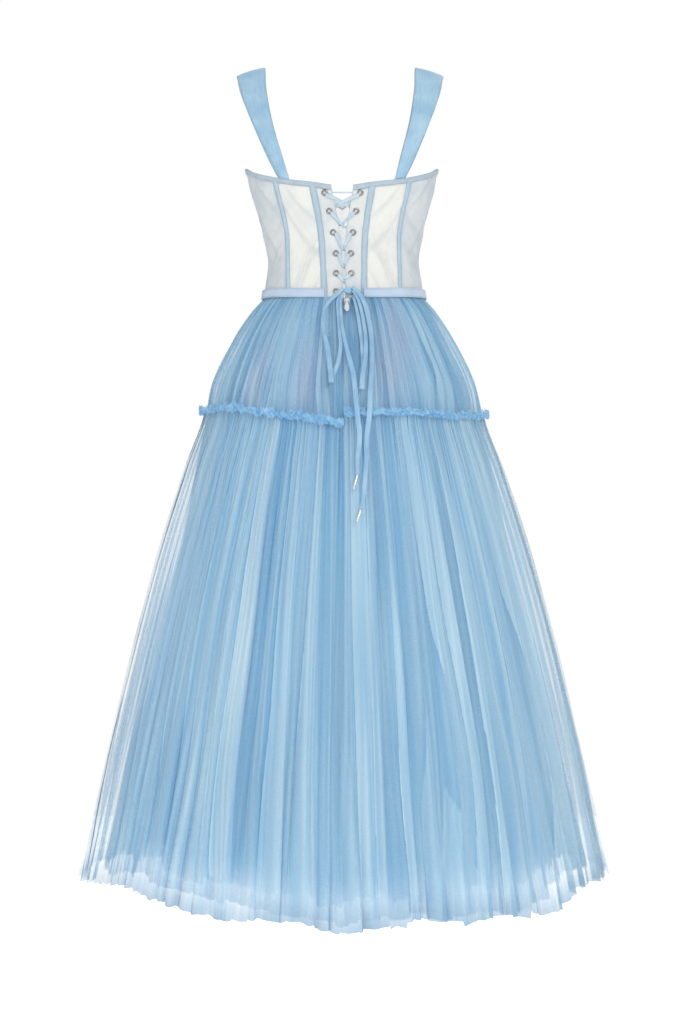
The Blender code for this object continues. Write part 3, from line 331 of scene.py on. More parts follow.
def cloth_grain(tree, thread_mm):
    """A plain weave over a piece's own UV map, which is in metres. Its threads lie thread_mm apart."""
    uv = add(tree, "ShaderNodeUVMap", uv_map="cloth").outputs["UV"]
    scale = 1000 / thread_mm / WAVE_TURN
    warp, weft = (
        add(tree, "ShaderNodeTexWave", {"Vector": uv, "Scale": scale}, bands_direction=way).outputs["Fac"]
        for way in ("X", "Y")
    )
    return uv, add(tree, "ShaderNodeMath", (warp, weft), operation="MULTIPLY").outputs[0]


def net_material(name, hollow, ridge, cover_low, cover_high, tint, streak=0.5):
    """Nylon bobbinet, dyed and gathered. One layer is mostly holes, so it is see-through, and it looks
    denser and deeper in colour where gathers lie over each other. Its colour runs from hollow to ridge by
    painted light and shade: lighter on ridges and fold edges, darker in hollows and pleat lines."""
    made, tree, shader = new_material(name)
    uv = add(tree, "ShaderNodeUVMap", uv_map="cloth").outputs["UV"]
    depth, tinted, layers = (
        add(tree, "ShaderNodeAttribute", attribute_name=label).outputs["Fac"]
        for label in ("ridge", "tint", "layers")
    )
    fine_way = add(tree, "ShaderNodeMapping", {"Vector": uv, "Scale": FINE_GATHERS}).outputs["Vector"]
    fine = add(tree, "ShaderNodeTexNoise", {
        "Vector": fine_way, "Scale": 1.0, "Detail": 3.0, "Roughness": 0.6,
    }).outputs["Fac"]
    broad_way = add(tree, "ShaderNodeMapping", {"Vector": uv, "Scale": BROAD_GATHERS}).outputs["Vector"]
    broad = add(tree, "ShaderNodeTexNoise", {
        "Vector": broad_way, "Scale": 1.0, "Detail": 2.0, "Roughness": 0.5,
    }).outputs["Fac"]
    holes_way = add(tree, "ShaderNodeMapping", {"Vector": uv, "Scale": NET_HOLES}).outputs["Vector"]
    holes = add(tree, "ShaderNodeTexVoronoi", {"Vector": holes_way, "Scale": 1.0}, feature="DISTANCE_TO_EDGE")
    threads = add(tree, "ShaderNodeMapRange", (holes.outputs["Distance"], 0.02, 0.22, 1.0, 0.0)).outputs[0]
    # The streaks of the gathers lighten and darken the colour: painted light and shade, as well as denser
    # cover.
    streaks = add(tree, "ShaderNodeMath", (fine, broad), operation="ADD").outputs[0]
    lit = add(tree, "ShaderNodeMapRange", (streaks, 0.72, 1.28, -streak / 2, streak / 2)).outputs[0]
    level = add(tree, "ShaderNodeMath", (depth, lit), operation="ADD", use_clamp=True).outputs[0]
    # From the hollow colour to the ridge colour by the 'ridge' attribute: painted light and shade of the
    # folds.
    hollow_to_ridge = {0: level, 6: linear(hollow), 7: linear(ridge)}
    body = add(tree, "ShaderNodeMix", hollow_to_ridge, data_type="RGBA").outputs[2]
    body_to_tint = {0: tinted, 6: body, 7: linear(tint)}
    colour = add(tree, "ShaderNodeMix", body_to_tint, data_type="RGBA").outputs[2]
    cover = add(tree, "ShaderNodeMapRange", (streaks, 0.7, 1.3, cover_high, cover_low)).outputs[0]
    lined = add(tree, "ShaderNodeMath", (threads, THREAD_COVER, cover), operation="MULTIPLY_ADD").outputs[0]
    folded = add(tree, "ShaderNodeMath", (depth, FOLD_COVER, lined), operation="MULTIPLY_ADD").outputs[0]
    alpha = add(tree, "ShaderNodeMath", (layers, folded), operation="ADD", use_clamp=True).outputs[0]
    bump = add(tree, "ShaderNodeBump", {"Height": fine, "Strength": 0.15, "Distance": 0.002})
    give(tree, shader, {
        "Base Color": colour, "Alpha": alpha, "Normal": bump.outputs["Normal"], "Roughness": 0.85,
        "Specular IOR Level": 0.15, "Sheen Weight": 0.25, "Sheen Roughness": 0.5,
    })
    return made


def satin_material(name, shade, light, roughness, thread_mm):
    """Polyester satin: long floats of filament yarn, so it is smooth, with a soft lengthwise gloss."""
    made, tree, shader = new_material(name)
    uv, weave = cloth_grain(tree, thread_mm)
    floats_way = add(tree, "ShaderNodeMapping", {"Vector": uv, "Scale": SATIN_FLOATS}).outputs["Vector"]
    long_floats = {"Vector": floats_way, "Scale": 1.0, "Detail": 3.0}
    floats = add(tree, "ShaderNodeTexNoise", long_floats).outputs["Fac"]
    place = add(tree, "ShaderNodeTexCoord").outputs["Object"]
    soft_cloud = {"Vector": place, "Scale": 38.0, "Detail": 2.0}
    cloud = add(tree, "ShaderNodeTexNoise", soft_cloud).outputs["Fac"]
    mixed = add(tree, "ShaderNodeMath", (floats, cloud), operation="ADD").outputs[0]
    level = add(tree, "ShaderNodeMapRange", (mixed, 0.7, 1.3, 0.0, 1.0)).outputs[0]
    shade_to_light = {0: level, 6: linear(shade), 7: linear(light)}
    colour = add(tree, "ShaderNodeMix", shade_to_light, data_type="RGBA").outputs[2]
    grain = add(tree, "ShaderNodeMath", (weave, floats), operation="ADD").outputs[0]
    bump = add(tree, "ShaderNodeBump", {"Height": grain, "Strength": 0.12, "Distance": 0.0004})
    spread = (floats, 0.3, 0.7, roughness - 0.06, roughness + 0.08)
    gloss = add(tree, "ShaderNodeMapRange", spread).outputs[0]
    give(tree, shader, {
        "Base Color": colour, "Normal": bump.outputs["Normal"], "Roughness": gloss,
        "Specular IOR Level": 0.35, "Sheen Weight": 0.255, "Sheen Roughness": 0.35,
    })
    return made


def corset_mesh_material(name, warm, cool, cover):
    """Fine stiff power net, matt and a little cloudy. Over its thin ivory lining it is nearly opaque."""
    made, tree, shader = new_material(name)
    uv = add(tree, "ShaderNodeUVMap", uv_map="cloth").outputs["UV"]
    place = add(tree, "ShaderNodeTexCoord").outputs["Object"]
    cloud = add(tree, "ShaderNodeTexNoise", {
        "Vector": place, "Scale": 30.0, "Detail": 4.0, "Roughness": 0.6,
    }).outputs["Fac"]
    # The 'ridge' attribute moves the colour from warm to cool: the panels' own tone, with painted shade
    # towards the sides.
    side, crease = (
        add(tree, "ShaderNodeAttribute", attribute_name=label).outputs["Fac"] for label in ("ridge", "crease")
    )
    holes_way = add(tree, "ShaderNodeMapping", {"Vector": uv, "Scale": CORSET_MESH_HOLES}).outputs["Vector"]
    holes = add(tree, "ShaderNodeTexVoronoi", {"Vector": holes_way, "Scale": 1.0}, feature="DISTANCE_TO_EDGE")
    threads = add(tree, "ShaderNodeMapRange", (holes.outputs["Distance"], 0.02, 0.25, 1.0, 0.0)).outputs[0]
    shift = add(tree, "ShaderNodeMapRange", (cloud, 0.35, 0.65, -0.22, 0.22)).outputs[0]
    level = add(tree, "ShaderNodeMath", (side, shift), operation="ADD", use_clamp=True).outputs[0]
    warm_to_cool = {0: level, 6: linear(warm), 7: linear(cool)}
    plain = add(tree, "ShaderNodeMix", warm_to_cool, data_type="RGBA").outputs[2]
    # Painted shade below each wrinkle, from the 'crease' attribute.
    plain_to_shaded = {0: crease, 6: plain, 7: linear(CREASE_SHADE)}
    colour = add(tree, "ShaderNodeMix", plain_to_shaded, data_type="RGBA").outputs[2]
    covered = add(tree, "ShaderNodeMath", (threads, 0.06, cover), operation="MULTIPLY_ADD", use_clamp=True)
    bump = add(tree, "ShaderNodeBump", {"Height": threads, "Strength": 0.10, "Distance": 0.0003})
    give(tree, shader, {
        "Base Color": colour, "Alpha": covered.outputs[0], "Normal": bump.outputs["Normal"],
        "Roughness": 0.75, "Specular IOR Level": 0.2,
    })
    return made


def tape_material(name, shade, light):
    """Woven cotton tape with a fine crosswise rib."""
    made, tree, shader = new_material(name)
    _, weave = cloth_grain(tree, 0.9)
    place = add(tree, "ShaderNodeTexCoord").outputs["Object"]
    fine_cloud = {"Vector": place, "Scale": 90.0, "Detail": 3.0}
    cloud = add(tree, "ShaderNodeTexNoise", fine_cloud).outputs["Fac"]
    mixed = add(tree, "ShaderNodeMath", (weave, cloud), operation="ADD").outputs[0]
    level = add(tree, "ShaderNodeMapRange", (mixed, 0.4, 1.2, 0.0, 1.0)).outputs[0]
    shade_to_light = {0: level, 6: linear(shade), 7: linear(light)}
    colour = add(tree, "ShaderNodeMix", shade_to_light, data_type="RGBA").outputs[2]
    bump = add(tree, "ShaderNodeBump", {"Height": weave, "Strength": 0.25, "Distance": 0.0004})
    give(tree, shader, {
        "Base Color": colour, "Normal": bump.outputs["Normal"], "Roughness": 0.7,
        "Specular IOR Level": 0.25,
    })
    return made


def silver_material(name, dark, light):
    """Nickel-plated brass, barrel polished: bright, with a few fine handling marks."""
    made, tree, shader = new_material(name)
    place = add(tree, "ShaderNodeTexCoord").outputs["Object"]
    marks = add(tree, "ShaderNodeTexNoise", {"Vector": place, "Scale": 900.0, "Detail": 4.0}).outputs["Fac"]
    gloss = add(tree, "ShaderNodeMapRange", (marks, 0.35, 0.7, 0.14, 0.34)).outputs[0]
    dark_to_light = {0: marks, 6: linear(dark), 7: linear(light)}
    colour = add(tree, "ShaderNodeMix", dark_to_light, data_type="RGBA").outputs[2]
    give(tree, shader, {"Base Color": colour, "Roughness": gloss, "Metallic": 1.0})
    return made


LILAC = "#c6bfd6"
PALE = "#8eb0c9"
UPPER_NET = net_material("Dyed nylon bobbinet, upper tier", "#7ab4dc", "#c6e6f5", 0.22, 0.36, LILAC)
UPPER_INNER_NET = net_material(
    "Dyed nylon bobbinet, upper tier second layer", "#80b8e0", "#cae6f4", 0.50, 0.68, LILAC
)
LOWER_NET = net_material("Dyed nylon bobbinet, lower tier", "#7cb6de", "#d4eef8", 0.27, 0.42, PALE)
LOWER_INNER_NET = net_material(
    "Dyed nylon bobbinet, lower tier second layer", "#84c0e4", "#d0eaf6", 0.40, 0.58, PALE
)
UNDER_NET = net_material("Dyed nylon bobbinet, under skirt", "#7cb9e2", "#c8e4f3", 0.90, 0.98, PALE)
RUFFLE_NET = net_material("Dyed nylon bobbinet, ruffle strip", "#5d9dcf", "#a6d2ee", 0.50, 0.78, PALE, 0.6)
SATIN = satin_material("Polyester satin, sky blue", "#90b7d4", "#accddf", 0.46, 0.8)
RIBBON = satin_material("Double-faced satin ribbon, sky blue", "#7eabd0", "#a3c8e2", 0.42, 0.6)
# A lighter, greyer copy of the bow's ribbon for the lace runs: painted light on the flat runs.
LACE = satin_material("Double-faced satin ribbon, lace run, sky blue", "#adc3d4", "#c9dae5", 0.5, 0.6)
LINED_MESH = corset_mesh_material("Power net over ivory lining", "#e9eae4", "#c3cdd6", 0.94)
SHEER_MESH = corset_mesh_material("Power net alone, ivory", "#f8f8f5", "#ebeff2", 0.20)
BONE_TAPE = tape_material("Woven boning tape, pale blue", "#a4bccb", "#bfd1db")
BINDING_TAPE = tape_material("Woven binding tape, pale blue-grey", "#a6b7c5", "#bfcdd8")
# A lighter copy of the binding tape for the front: painted light against the shade inside the bodice.
LIGHTENED_FRONT_TAPE = tape_material("Woven binding tape of the front, ivory blue", "#dde5eb", "#f2f6f8")
WAIST_SATIN = satin_material("Polyester satin waistband, pale blue", "#b1c6dc", "#c9d9e8", 0.5, 0.8)
THREAD = tape_material("Spun polyester thread, pale blue", "#9db4c8", "#c0d2e0")
SILVER = silver_material("Nickel-plated brass", "#c9cacb", "#f0eeea")
# A darkened copy of the nickel-plated brass for the eyelets: painted shade and dark reflections in its colour.
DARKENED_EYELET_METAL = silver_material("Nickel-plated brass, eyelets", "#6b686a", "#a8a4a0")


# Meshes


def grid_object(name, points, uv, material, values=None, closed=False, solid=0.0):
    """A sheet from an array of rows and columns of points, with its UV map in metres."""
    rows, columns = points.shape[:2]
    index = np.arange(rows * columns).reshape(rows, columns)
    after = np.roll(index, -1, axis=1) if closed else index[:, 1:]
    here = index if closed else index[:, :-1]
    quads = np.stack([here[:-1], after[:-1], after[1:], here[1:]], axis=-1).reshape(-1, 4)
    mesh = bpy.data.meshes.new(name)
    mesh.from_pydata(points.reshape(-1, 3).tolist(), [], quads.tolist())
    layer = mesh.uv_layers.new(name="cloth")
    corners = np.empty(len(mesh.loops), np.int32)
    mesh.loops.foreach_get("vertex_index", corners)
    layer.data.foreach_set("uv", uv.reshape(-1, 2)[corners].astype(np.float32).reshape(-1))
    for label, value in (values or {}).items():
        attribute = mesh.attributes.new(label, "FLOAT", "POINT")
        spread = np.broadcast_to(value, (rows, columns)).astype(np.float32)
        attribute.data.foreach_set("value", spread.reshape(-1))
    mesh.shade_smooth()
    mesh.materials.append(material)
    made = bpy.data.objects.new(name, mesh)
    bpy.context.scene.collection.objects.link(made)
    if solid:
        wall = made.modifiers.new("Wall", "SOLIDIFY")
        wall.thickness = solid
        wall.offset = -1.0
    return made


def place_on(piece, slot, *nodes, body="dress"):
    """Rides on its body and stands for CAD nodes, which it hides. Its slot is not used."""
    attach(piece, body)
    if nodes:
        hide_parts(*nodes)
    return piece


# Camera and light

CAMERA_DISTANCE = 3.0
CAMERA_HEIGHT = 0.552
FRAME_HEIGHT_PX = 1024
FOCAL_PX = 2000
AXIS_OFFSET_PX = 2.5  # the dress's middle stands this far right of the picture's

lens = bpy.data.cameras.new("Camera")
lens.sensor_fit = "VERTICAL"
lens.sensor_height = 36.0
lens.lens = FOCAL_PX / FRAME_HEIGHT_PX * lens.sensor_height
camera = bpy.data.objects.new("Camera", lens)
camera_x = -AXIS_OFFSET_PX * CAMERA_DISTANCE / FOCAL_PX
camera.location = (camera_x, -CAMERA_DISTANCE, CAMERA_HEIGHT - SHOULDER_HEIGHT)
camera.rotation_euler = (math.radians(90), 0.0, 0.0)
bpy.context.scene.collection.objects.link(camera)
bpy.context.scene.camera = camera
bpy.context.scene.view_settings.view_transform = "Standard"

world = bpy.data.worlds.new("White studio")
bpy.context.scene.world = world
world.use_nodes = True
sky = world.node_tree
rays = add(sky, "ShaderNodeLightPath").outputs
plain = add(sky, "ShaderNodeMapRange", (rays["Is Camera Ray"], 0.0, 1.0, 0.62, 1.0)).outputs[0]
# Metal mirrors a studio that is bright behind the camera, overhead and to the right, and dark elsewhere.
direction = add(sky, "ShaderNodeTexCoord").outputs["Generated"]
way = add(sky, "ShaderNodeSeparateXYZ", {"Vector": direction}).outputs
ahead_of_it = add(sky, "ShaderNodeMapRange", (way["Y"], -0.95, -0.60, 1.25, 0.04)).outputs[0]
overhead = add(sky, "ShaderNodeMapRange", (way["Z"], 0.35, 0.8, 0.05, 1.0)).outputs[0]
beside = add(sky, "ShaderNodeMapRange", (way["X"], 0.15, 0.65, 0.05, 0.75)).outputs[0]
nearer = add(sky, "ShaderNodeMath", (ahead_of_it, overhead), operation="MAXIMUM").outputs[0]
mirrored = add(sky, "ShaderNodeMath", (nearer, beside), operation="MAXIMUM").outputs[0]
strength = add(sky, "ShaderNodeMix", {0: rays["Is Glossy Ray"], 2: plain, 3: mirrored}, data_type="FLOAT")
give(sky, sky.nodes["Background"], {"Strength": strength.outputs[0], "Color": linear("#ffffff")})

Lamp = namedtuple("Lamp", "name place size power")
LAMP_TARGET = Vector((0.0, 0.0, -0.6))
LAMPS = (
    Lamp("Key", (1.2, -2.8, 0.9), 1.6, 34.0),
    Lamp("Fill", (-2.2, -2.2, 0.2), 2.0, 16.0),
    Lamp("Front", (0.4, 2.8, 0.8), 2.0, 30.0),
)
for lamp in LAMPS:
    light = bpy.data.lights.new(lamp.name, "AREA")
    light.size = lamp.size
    light.energy = lamp.power
    stand = bpy.data.objects.new(lamp.name, light)
    stand.location = lamp.place
    aim = LAMP_TARGET - Vector(lamp.place)
    stand.rotation_euler = aim.to_track_quat("-Z", "Y").to_euler()
    bpy.context.scene.collection.objects.link(stand)

FLOOR_DROP = 0.36  # the hem hangs this far above the floor
FLOOR_HALF = 3.0
floor_level = -SHOULDER_HEIGHT - FLOOR_DROP
floor_points = np.array([
    [[x, y, floor_level] for x in (-FLOOR_HALF, FLOOR_HALF)] for y in (-FLOOR_HALF, FLOOR_HALF)
])
floor_paint, floor_tree, floor_shader = new_material("Matt white studio floor")
give(floor_tree, floor_shader, {
    "Base Color": linear("#fbfbfb"), "Roughness": 0.9, "Emission Color": linear("#ffffff"),
    "Emission Strength": 0.35,
})
grid_object("floor", floor_points, np.zeros((2, 2, 2)), floor_paint)


# Ribbons


def smooth_stations(stations, steps):
    """Stations of (centre, width, edge) at closer steps, on a smooth curve through the given ones."""
    made = []
    last = len(stations) - 1
    for number in range(last):
        before, here, there, after = (stations[min(max(number + step, 0), last)] for step in (-1, 0, 1, 2))
        for step in range(steps):
            t = step / steps
            to_before = -0.5 * t**3 + t**2 - 0.5 * t
            to_here = 1.5 * t**3 - 2.5 * t**2 + 1
            to_there = -1.5 * t**3 + 2 * t**2 + 0.5 * t
            to_after = 0.5 * t**3 - 0.5 * t**2
            made.append(tuple(
                before[part] * to_before + here[part] * to_here
                + there[part] * to_there + after[part] * to_after
                for part in range(3)
            ))
    made.append(stations[-1])
    return made


def ribbon_object(name, material, stations, thickness, steps=5, crown=0.0, square=True, shares=7):
    """A flat ribbon with rounded edges through stations of (centre, width, direction across). crown domes it,
    and square turns its direction across square to its run."""
    fine = smooth_stations(stations, steps)
    centres = [row[0] for row in fine]
    across = np.linspace(-0.5, 0.5, shares)
    loop = [(share, 1) for share in across] + [(share, -1) for share in across[::-1]]
    rows = []
    travelled = 0.0
    uv = []
    for number, (centre, width, edge) in enumerate(fine):
        travel = centres[min(number + 1, len(centres) - 1)] - centres[max(number - 1, 0)]
        travel.normalize()
        if square:
            edge = edge - travel * edge.dot(travel)
        edge = edge.normalized()
        face = travel.cross(edge).normalized()
        if number:
            travelled += (centre - centres[number - 1]).length
        ring = []
        for share, way in loop:
            rim = 1 - (2 * abs(share)) ** 6
            lift = way * thickness / 2 * (0.25 + 0.75 * rim) + crown * (0.25 - share**2) * 4
            ring.append(centre + edge * (width * share) + face * lift)
        rows.append(ring)
        uv.append([(travelled, share * width) for share, _ in loop])
    points = np.array(rows)
    made = grid_object(name, points, np.array(uv), material, closed=True)
    mesh = made.data
    count = len(loop)
    faces = [list(range(count))[::-1], list(range((len(rows) - 1) * count, len(rows) * count))]
    whole = bpy.data.meshes.new(name)
    quads = [list(face.vertices) for face in mesh.polygons]
    whole.from_pydata([tuple(vertex.co) for vertex in mesh.vertices], [], quads + faces)
    layer = whole.uv_layers.new(name="cloth")
    flat = np.array(uv).reshape(-1, 2)
    for corner_index, corner_loop in enumerate(whole.loops):
        layer.data[corner_index].uv = flat[corner_loop.vertex_index]
    whole.shade_smooth()
    whole.materials.append(material)
    made.data = whole
    return made, centres


def bow_place(x, height, lift):
    """A place lift outside the cloth that the bow and its tails lie on."""
    depth = along(BOW_BED, height).height
    bed = depth * math.sqrt(1 - (x / max(BOW_BED_HALF_WIDTH, depth)) ** 2)
    return in_frame(x, -bed - lift, height)


STRAND_WIDENING = 1.05
STRAND_THICKNESS = 0.0008
STRAND_CROWN = 0.0003


def strand(name, strands):
    """A ribbon of the bow, free from the knot down."""
    stations = [
        (bow_place(row.x, row.height, row.lift), row.width * STRAND_WIDENING, Vector((1.0, 0.0, 0.0)))
        for row in strands
    ]
    made, centres = ribbon_object(name, RIBBON, stations, STRAND_THICKNESS, crown=STRAND_CROWN)
    place_on(made, "satin_ribbon", name.replace("_ribbon", ""))
    return made


def turned_object(name, material, profile, matrix, sides=28):
    """A turned piece from a profile of (distance along its axis, radius)."""
    turns = np.linspace(0, 2 * math.pi, sides, endpoint=False)
    points = np.array([
        [matrix @ Vector((radius * math.cos(a), radius * math.sin(a), z)) for a in turns]
        for z, radius in profile
    ])
    uv = np.array([[(a * 0.002, z) for a in turns] for z, _ in profile])
    return grid_object(name, points, uv, material, closed=True)


def aglet(name, ends, node):
    """A metal tip crimped on a tail's end, with a beaded top and a narrow waist near its point."""
    top, tip = ends
    start = bow_place(top.x, top.height, top.lift)
    end = bow_place(tip.x, tip.height, tip.lift)
    matrix = Matrix.Translation(start) @ (end - start).to_track_quat("Z", "Y").to_matrix().to_4x4()
    length = (end - start).length
    wide = top.width / 2
    narrow = tip.width / 2
    profile = (
        (0.0003, 0.0001), (0.0, wide * 0.86), (0.0004, wide * 1.02), (0.0010, wide * 1.04),
        (0.0016, wide * 0.92), (length * 0.5, (wide + narrow) * 0.48), (length * 0.86, narrow * 0.98),
        (length * 0.90, narrow * 1.14), (length * 0.94, narrow * 1.10), (length * 0.985, narrow * 0.75),
        (length, 0.0001),
    )
    made = turned_object(name, SILVER, profile, matrix)
    return place_on(made, "silvered_metal", node)


tip_left = aglet("aglet_left_tip", AGLET_LEFT, "aglet_left")
tip_right = aglet("aglet_right_tip", AGLET_RIGHT, "aglet_right")
strand("bow_loop_left_ribbon", LOOP_LEFT)
strand("bow_loop_right_ribbon", LOOP_RIGHT)
strand("bow_tail_left_ribbon", TAIL_LEFT)
strand("bow_tail_right_ribbon", TAIL_RIGHT)


# The gathered net skirt

QUARTER_PHASES = ((-180, -90, 0.3), (-90, 0, 1.1), (0, 90, 2.2), (90, 180, 3.4))
LEANING_FOLD = ((0.18, 1.0), (0.48, -0.25), (0.82, -1.0))
PLAIN_FOLD = ((0.25, 1.0), (0.75, -1.0))


def fold_table(count, profile, shift):
    """The large folds of the whole round, as turns and levels, laid out as on the solids."""
    turns = []
    levels = []
    for start, end, phase in QUARTER_PHASES:
        widths = [1 + FOLD_UNEVENNESS * uneven(number, phase + shift) for number in range(count // 4)]
        scale = (end - start) / sum(widths)
        turn = start
        for number, width in enumerate(widths):
            depth = min(1 + FOLD_UNEVENNESS * uneven(number, phase + shift + 1.7), 1.25) / 1.25
            for share, level in profile:
                turns.append(turn + width * scale * share)
                levels.append(level * depth)
            turn += width * scale
    return np.array(turns), np.array(levels)


def eased(at, turns, levels):
    """Levels between a table's turns, eased so that ridges and hollows are round, all the way round."""
    wide_turns = np.concatenate([turns - 360, turns, turns + 360])
    wide_levels = np.tile(levels, 3)
    at = (at + 180) % 360 - 180
    first = np.searchsorted(wide_turns, at, side="right") - 1
    t = (at - wide_turns[first]) / (wide_turns[first + 1] - wide_turns[first])
    t = t * t * (3 - 2 * t)
    return wide_levels[first] + (wide_levels[first + 1] - wide_levels[first]) * t


def field(turn, down, columns, rows, seed):
    """A smooth, steady, uneven field from -1 to 1. It closes on itself round the turn, and down is 0 to 1."""
    table = np.random.default_rng(seed).uniform(-1, 1, (rows + 2, columns))
    x = (turn / 360 % 1) * columns
    y = np.clip(down, 0, 1) * rows
    column = np.floor(x).astype(int) % columns
    row = np.floor(y).astype(int)
    u = x - np.floor(x)
    v = y - row
    u = u * u * (3 - 2 * u)
    v = v * v * (3 - 2 * v)
    beside = (column + 1) % columns
    upper = table[row, column] * (1 - u) + table[row, beside] * u
    lower = table[row + 1, column] * (1 - u) + table[row + 1, beside] * u
    return upper * (1 - v) + lower * v


def bearing_of(turn):
    """Degrees from straight behind, where the lacing is: minus to the wearer's left, plus to their right."""
    return (turn + 90 + 180) % 360 - 180


def tier_seam(turn, half):
    """Height of the seam between the tiers, which steps at the middle of the back."""
    bearing = bearing_of(turn)
    if half == "left":
        return edge_height(TIER_SEAM_LEFT, np.where(bearing > 0, -180.0, bearing))
    return edge_height(TIER_SEAM_RIGHT, np.where(bearing < 0, 180.0, bearing))


Net = namedtuple(
    "Net",
    "rings folds profile shift large inset hem_rise columns rows pleats pleat_depth gathers seed hem_layers "
    "side_layers flat",
)
# large is the share of the solids' own folds, inset is how far inside them a layer hangs, and hem_rise is how
# far its edge ends above the hem. pleats and gathers are counts for the whole round. hem_layers and
# side_layers add to the net's cover there, and flat is the width and depth of one half's cut.
NETS = {
    "upper": Net(
        UPPER_TIER, UPPER_FOLDS, PLAIN_FOLD, 0.0, 0.5, 0.0, 0.0, 950, 32, 150, 0.0018, 333, 3, 0, -0.16,
        (0.86, 0.185),
    ),
    "upper_inner": Net(
        UPPER_TIER, UPPER_FOLDS, PLAIN_FOLD, 0.7, 0.5, 0.0125, 0.0, 640, 24, 90, 0.0022, 211, 5, 0, -0.2,
        (0.82, 0.18),
    ),
    "lower": Net(
        LOWER_TIER, LOWER_FOLDS, LEANING_FOLD, 0.9, 0.55, 0.0, 0.0, 1200, 76, 96, 0.0050, 287, 7, 0.36, -0.60,
        (1.45, 0.72),
    ),
    "lower_inner": Net(
        LOWER_TIER, LOWER_FOLDS, LEANING_FOLD, 2.1, 0.45, 0.032, 0.002, 760, 46, 76, 0.0048, 205, 11, -0.06,
        -0.46, (1.35, 0.69),
    ),
    "under": Net(
        UNDER_SKIRT, UNDER_FOLDS, PLAIN_FOLD, 0.1, 1.0, 0.022, 0.024, 420, 30, 46, 0.0026, 0, 13, -0.75, 0,
        (1.05, 0.86),
    ),
}
# The second layer of the lower tier ends further above the hem at the sides than in the middle.
SECOND_LAYER_RISE = (
    Edge(-180, 0.004), Edge(-90, 0.010), Edge(-60, 0.008), Edge(-42, 0.008), Edge(-31, 0.012),
    Edge(-24, 0.008), Edge(-19, 0.003), Edge(0, 0.0), Edge(40, 0.0), Edge(56, 0.012), Edge(90, 0.010),
    Edge(180, 0.004),
)
# The sides are see-through over this many degrees, and further round towards the hem. Left, then right.
VEIL_REACH = 24.0
VEIL_GROWTH = (2.0, 11.0)
THINNER_SIDES = (1.13, 0.82)
# The hem is torn: each width of net ends a little higher or lower than the next, on a slant, and flutters.
HEM_PANELS = 48
HEM_STEP = 0.0095
HEM_SLANT = 0.0045
HEM_FLUTTER = (0.0010, 0.0008)

Patch = namedtuple("Patch", "bearing down width")
PatchLook = namedtuple("PatchLook", "depth strength patches")
# Where the layers below give the upper tier a lilac cast, and where its gathers part into hollows, darkened
# with painted shade.
LILAC_CAST = PatchLook(0.30, 0.34, (
    Patch(-17.0, 0.70, 6.5), Patch(20.0, 0.60, 8.0), Patch(-42.0, 0.7, 5.0), Patch(30.0, 0.25, 6.0),
))
HOLLOW_SHADE = PatchLook(0.25, 0.30, (
    Patch(-2.0, 0.95, 5.0), Patch(-54.0, 0.75, 2.5), Patch(55.0, 0.65, 3.0), Patch(2.0, 0.3, 3.0),
))


def torn_hem(turn, seed):
    """The uneven end of each width of net, which steps at its joins."""
    rng = np.random.default_rng(seed)
    drops = rng.uniform(-0.5, 0.5, HEM_PANELS)
    slants = rng.uniform(-0.5, 0.5, HEM_PANELS)
    a = np.radians(turn)
    place = HEM_PANELS * ((turn / 360) % 1) + 0.45 * np.sin(a * 23 + seed) + 0.3 * np.sin(a * 9)
    number = np.floor(place).astype(int) % HEM_PANELS
    share = place - np.floor(place)
    flutter = HEM_FLUTTER[0] * np.sin(a * 131 + seed) + HEM_FLUTTER[1] * np.sin(a * 57)
    return HEM_STEP * drops[number] + HEM_SLANT * slants[number] * (share - 0.5) + flutter


def patch_cover(look, bearing, share):
    """How strongly soft patches show, at bearings and shares of the way down."""
    return sum(
        look.strength
        * np.exp(-(((bearing - patch.bearing) / patch.width) ** 2) - ((share - patch.down) / look.depth) ** 2)
        for patch in look.patches
    )


SEAM_OVERLAP = (0.002, 0.004)  # how far the lower and the upper tier run past the seam between them
SEAM_REACH = 0.02  # pleats start this share of the way down
PLEAT_LEAN = 0.92  # how far a ridge leans, as a share of a pleat's width over a whole turn
FOLD_LEAN = 0.75
LAYER_GAP = 0.0012  # how far inside the outer net a layer starts at its seam
INSET_REACH = 0.30  # from this share of the way down, a layer hangs its whole inset inside
TEAR_START = 0.88  # the torn end grows from this share of the way down
HALF_TURNS = {"left": (90.0, 270.0), "right": (-90.0, 90.0)}
Folds = namedtuple("Folds", "depth place phase strength large fine")


def net_folds(net, turn, share, fold_depth):
    """Large folds as on the solid, with pleats and fine gathers that run into each other further down."""
    turns, levels = fold_table(net.folds, net.profile, net.shift)
    drift = 1.5 * share * field(turn, share, 34, 3, net.seed)
    large = eased(turn + drift, turns, levels) * (0.75 + 0.25 * field(turn, share, 60, 3, net.seed + 1))
    # Pleats fade in and out down the skirt, so that each ends somewhere as a long narrow triangle.
    wander = 0.75 * field(turn, share, 90, 1, net.seed + 2) + 0.35 * field(turn, share, 31, 2, net.seed + 6)
    place = net.pleats * turn / 360 + wander * (0.7 + 0.4 * share) + 0.35 * drift
    phase = 2 * math.pi * place
    strength = np.clip(0.6 + 0.75 * field(turn, share, net.pleats * 3 // 4, 4, net.seed + 3), 0, 1.2)
    pleat = np.cos(phase + 0.35 * np.sin(phase))
    near_seam = np.clip(share / SEAM_REACH, 0, 1)
    grown = 0.42 + 0.58 * share if net.rings is LOWER_TIER else 0.6 + 0.4 * share
    depth = net.large * fold_depth * large + net.pleat_depth * grown * strength * pleat * near_seam
    fine = np.zeros_like(depth)
    if net.gathers:
        straying = 0.8 * field(turn, share, 160, 2, net.seed + 4)
        inner_phase = 2 * math.pi * (net.gathers * turn / 360 + straying + drift)
        fine = np.cos(inner_phase) * np.clip(0.6 + 0.6 * field(turn, share, 240, 3, net.seed + 5), 0, 1)
        crowding = 0.0004 + 0.0011 * np.exp(-((share / 0.16) ** 2))
        depth = depth + crowding * fine * near_seam
    return Folds(depth, place, phase, strength, large, fine)


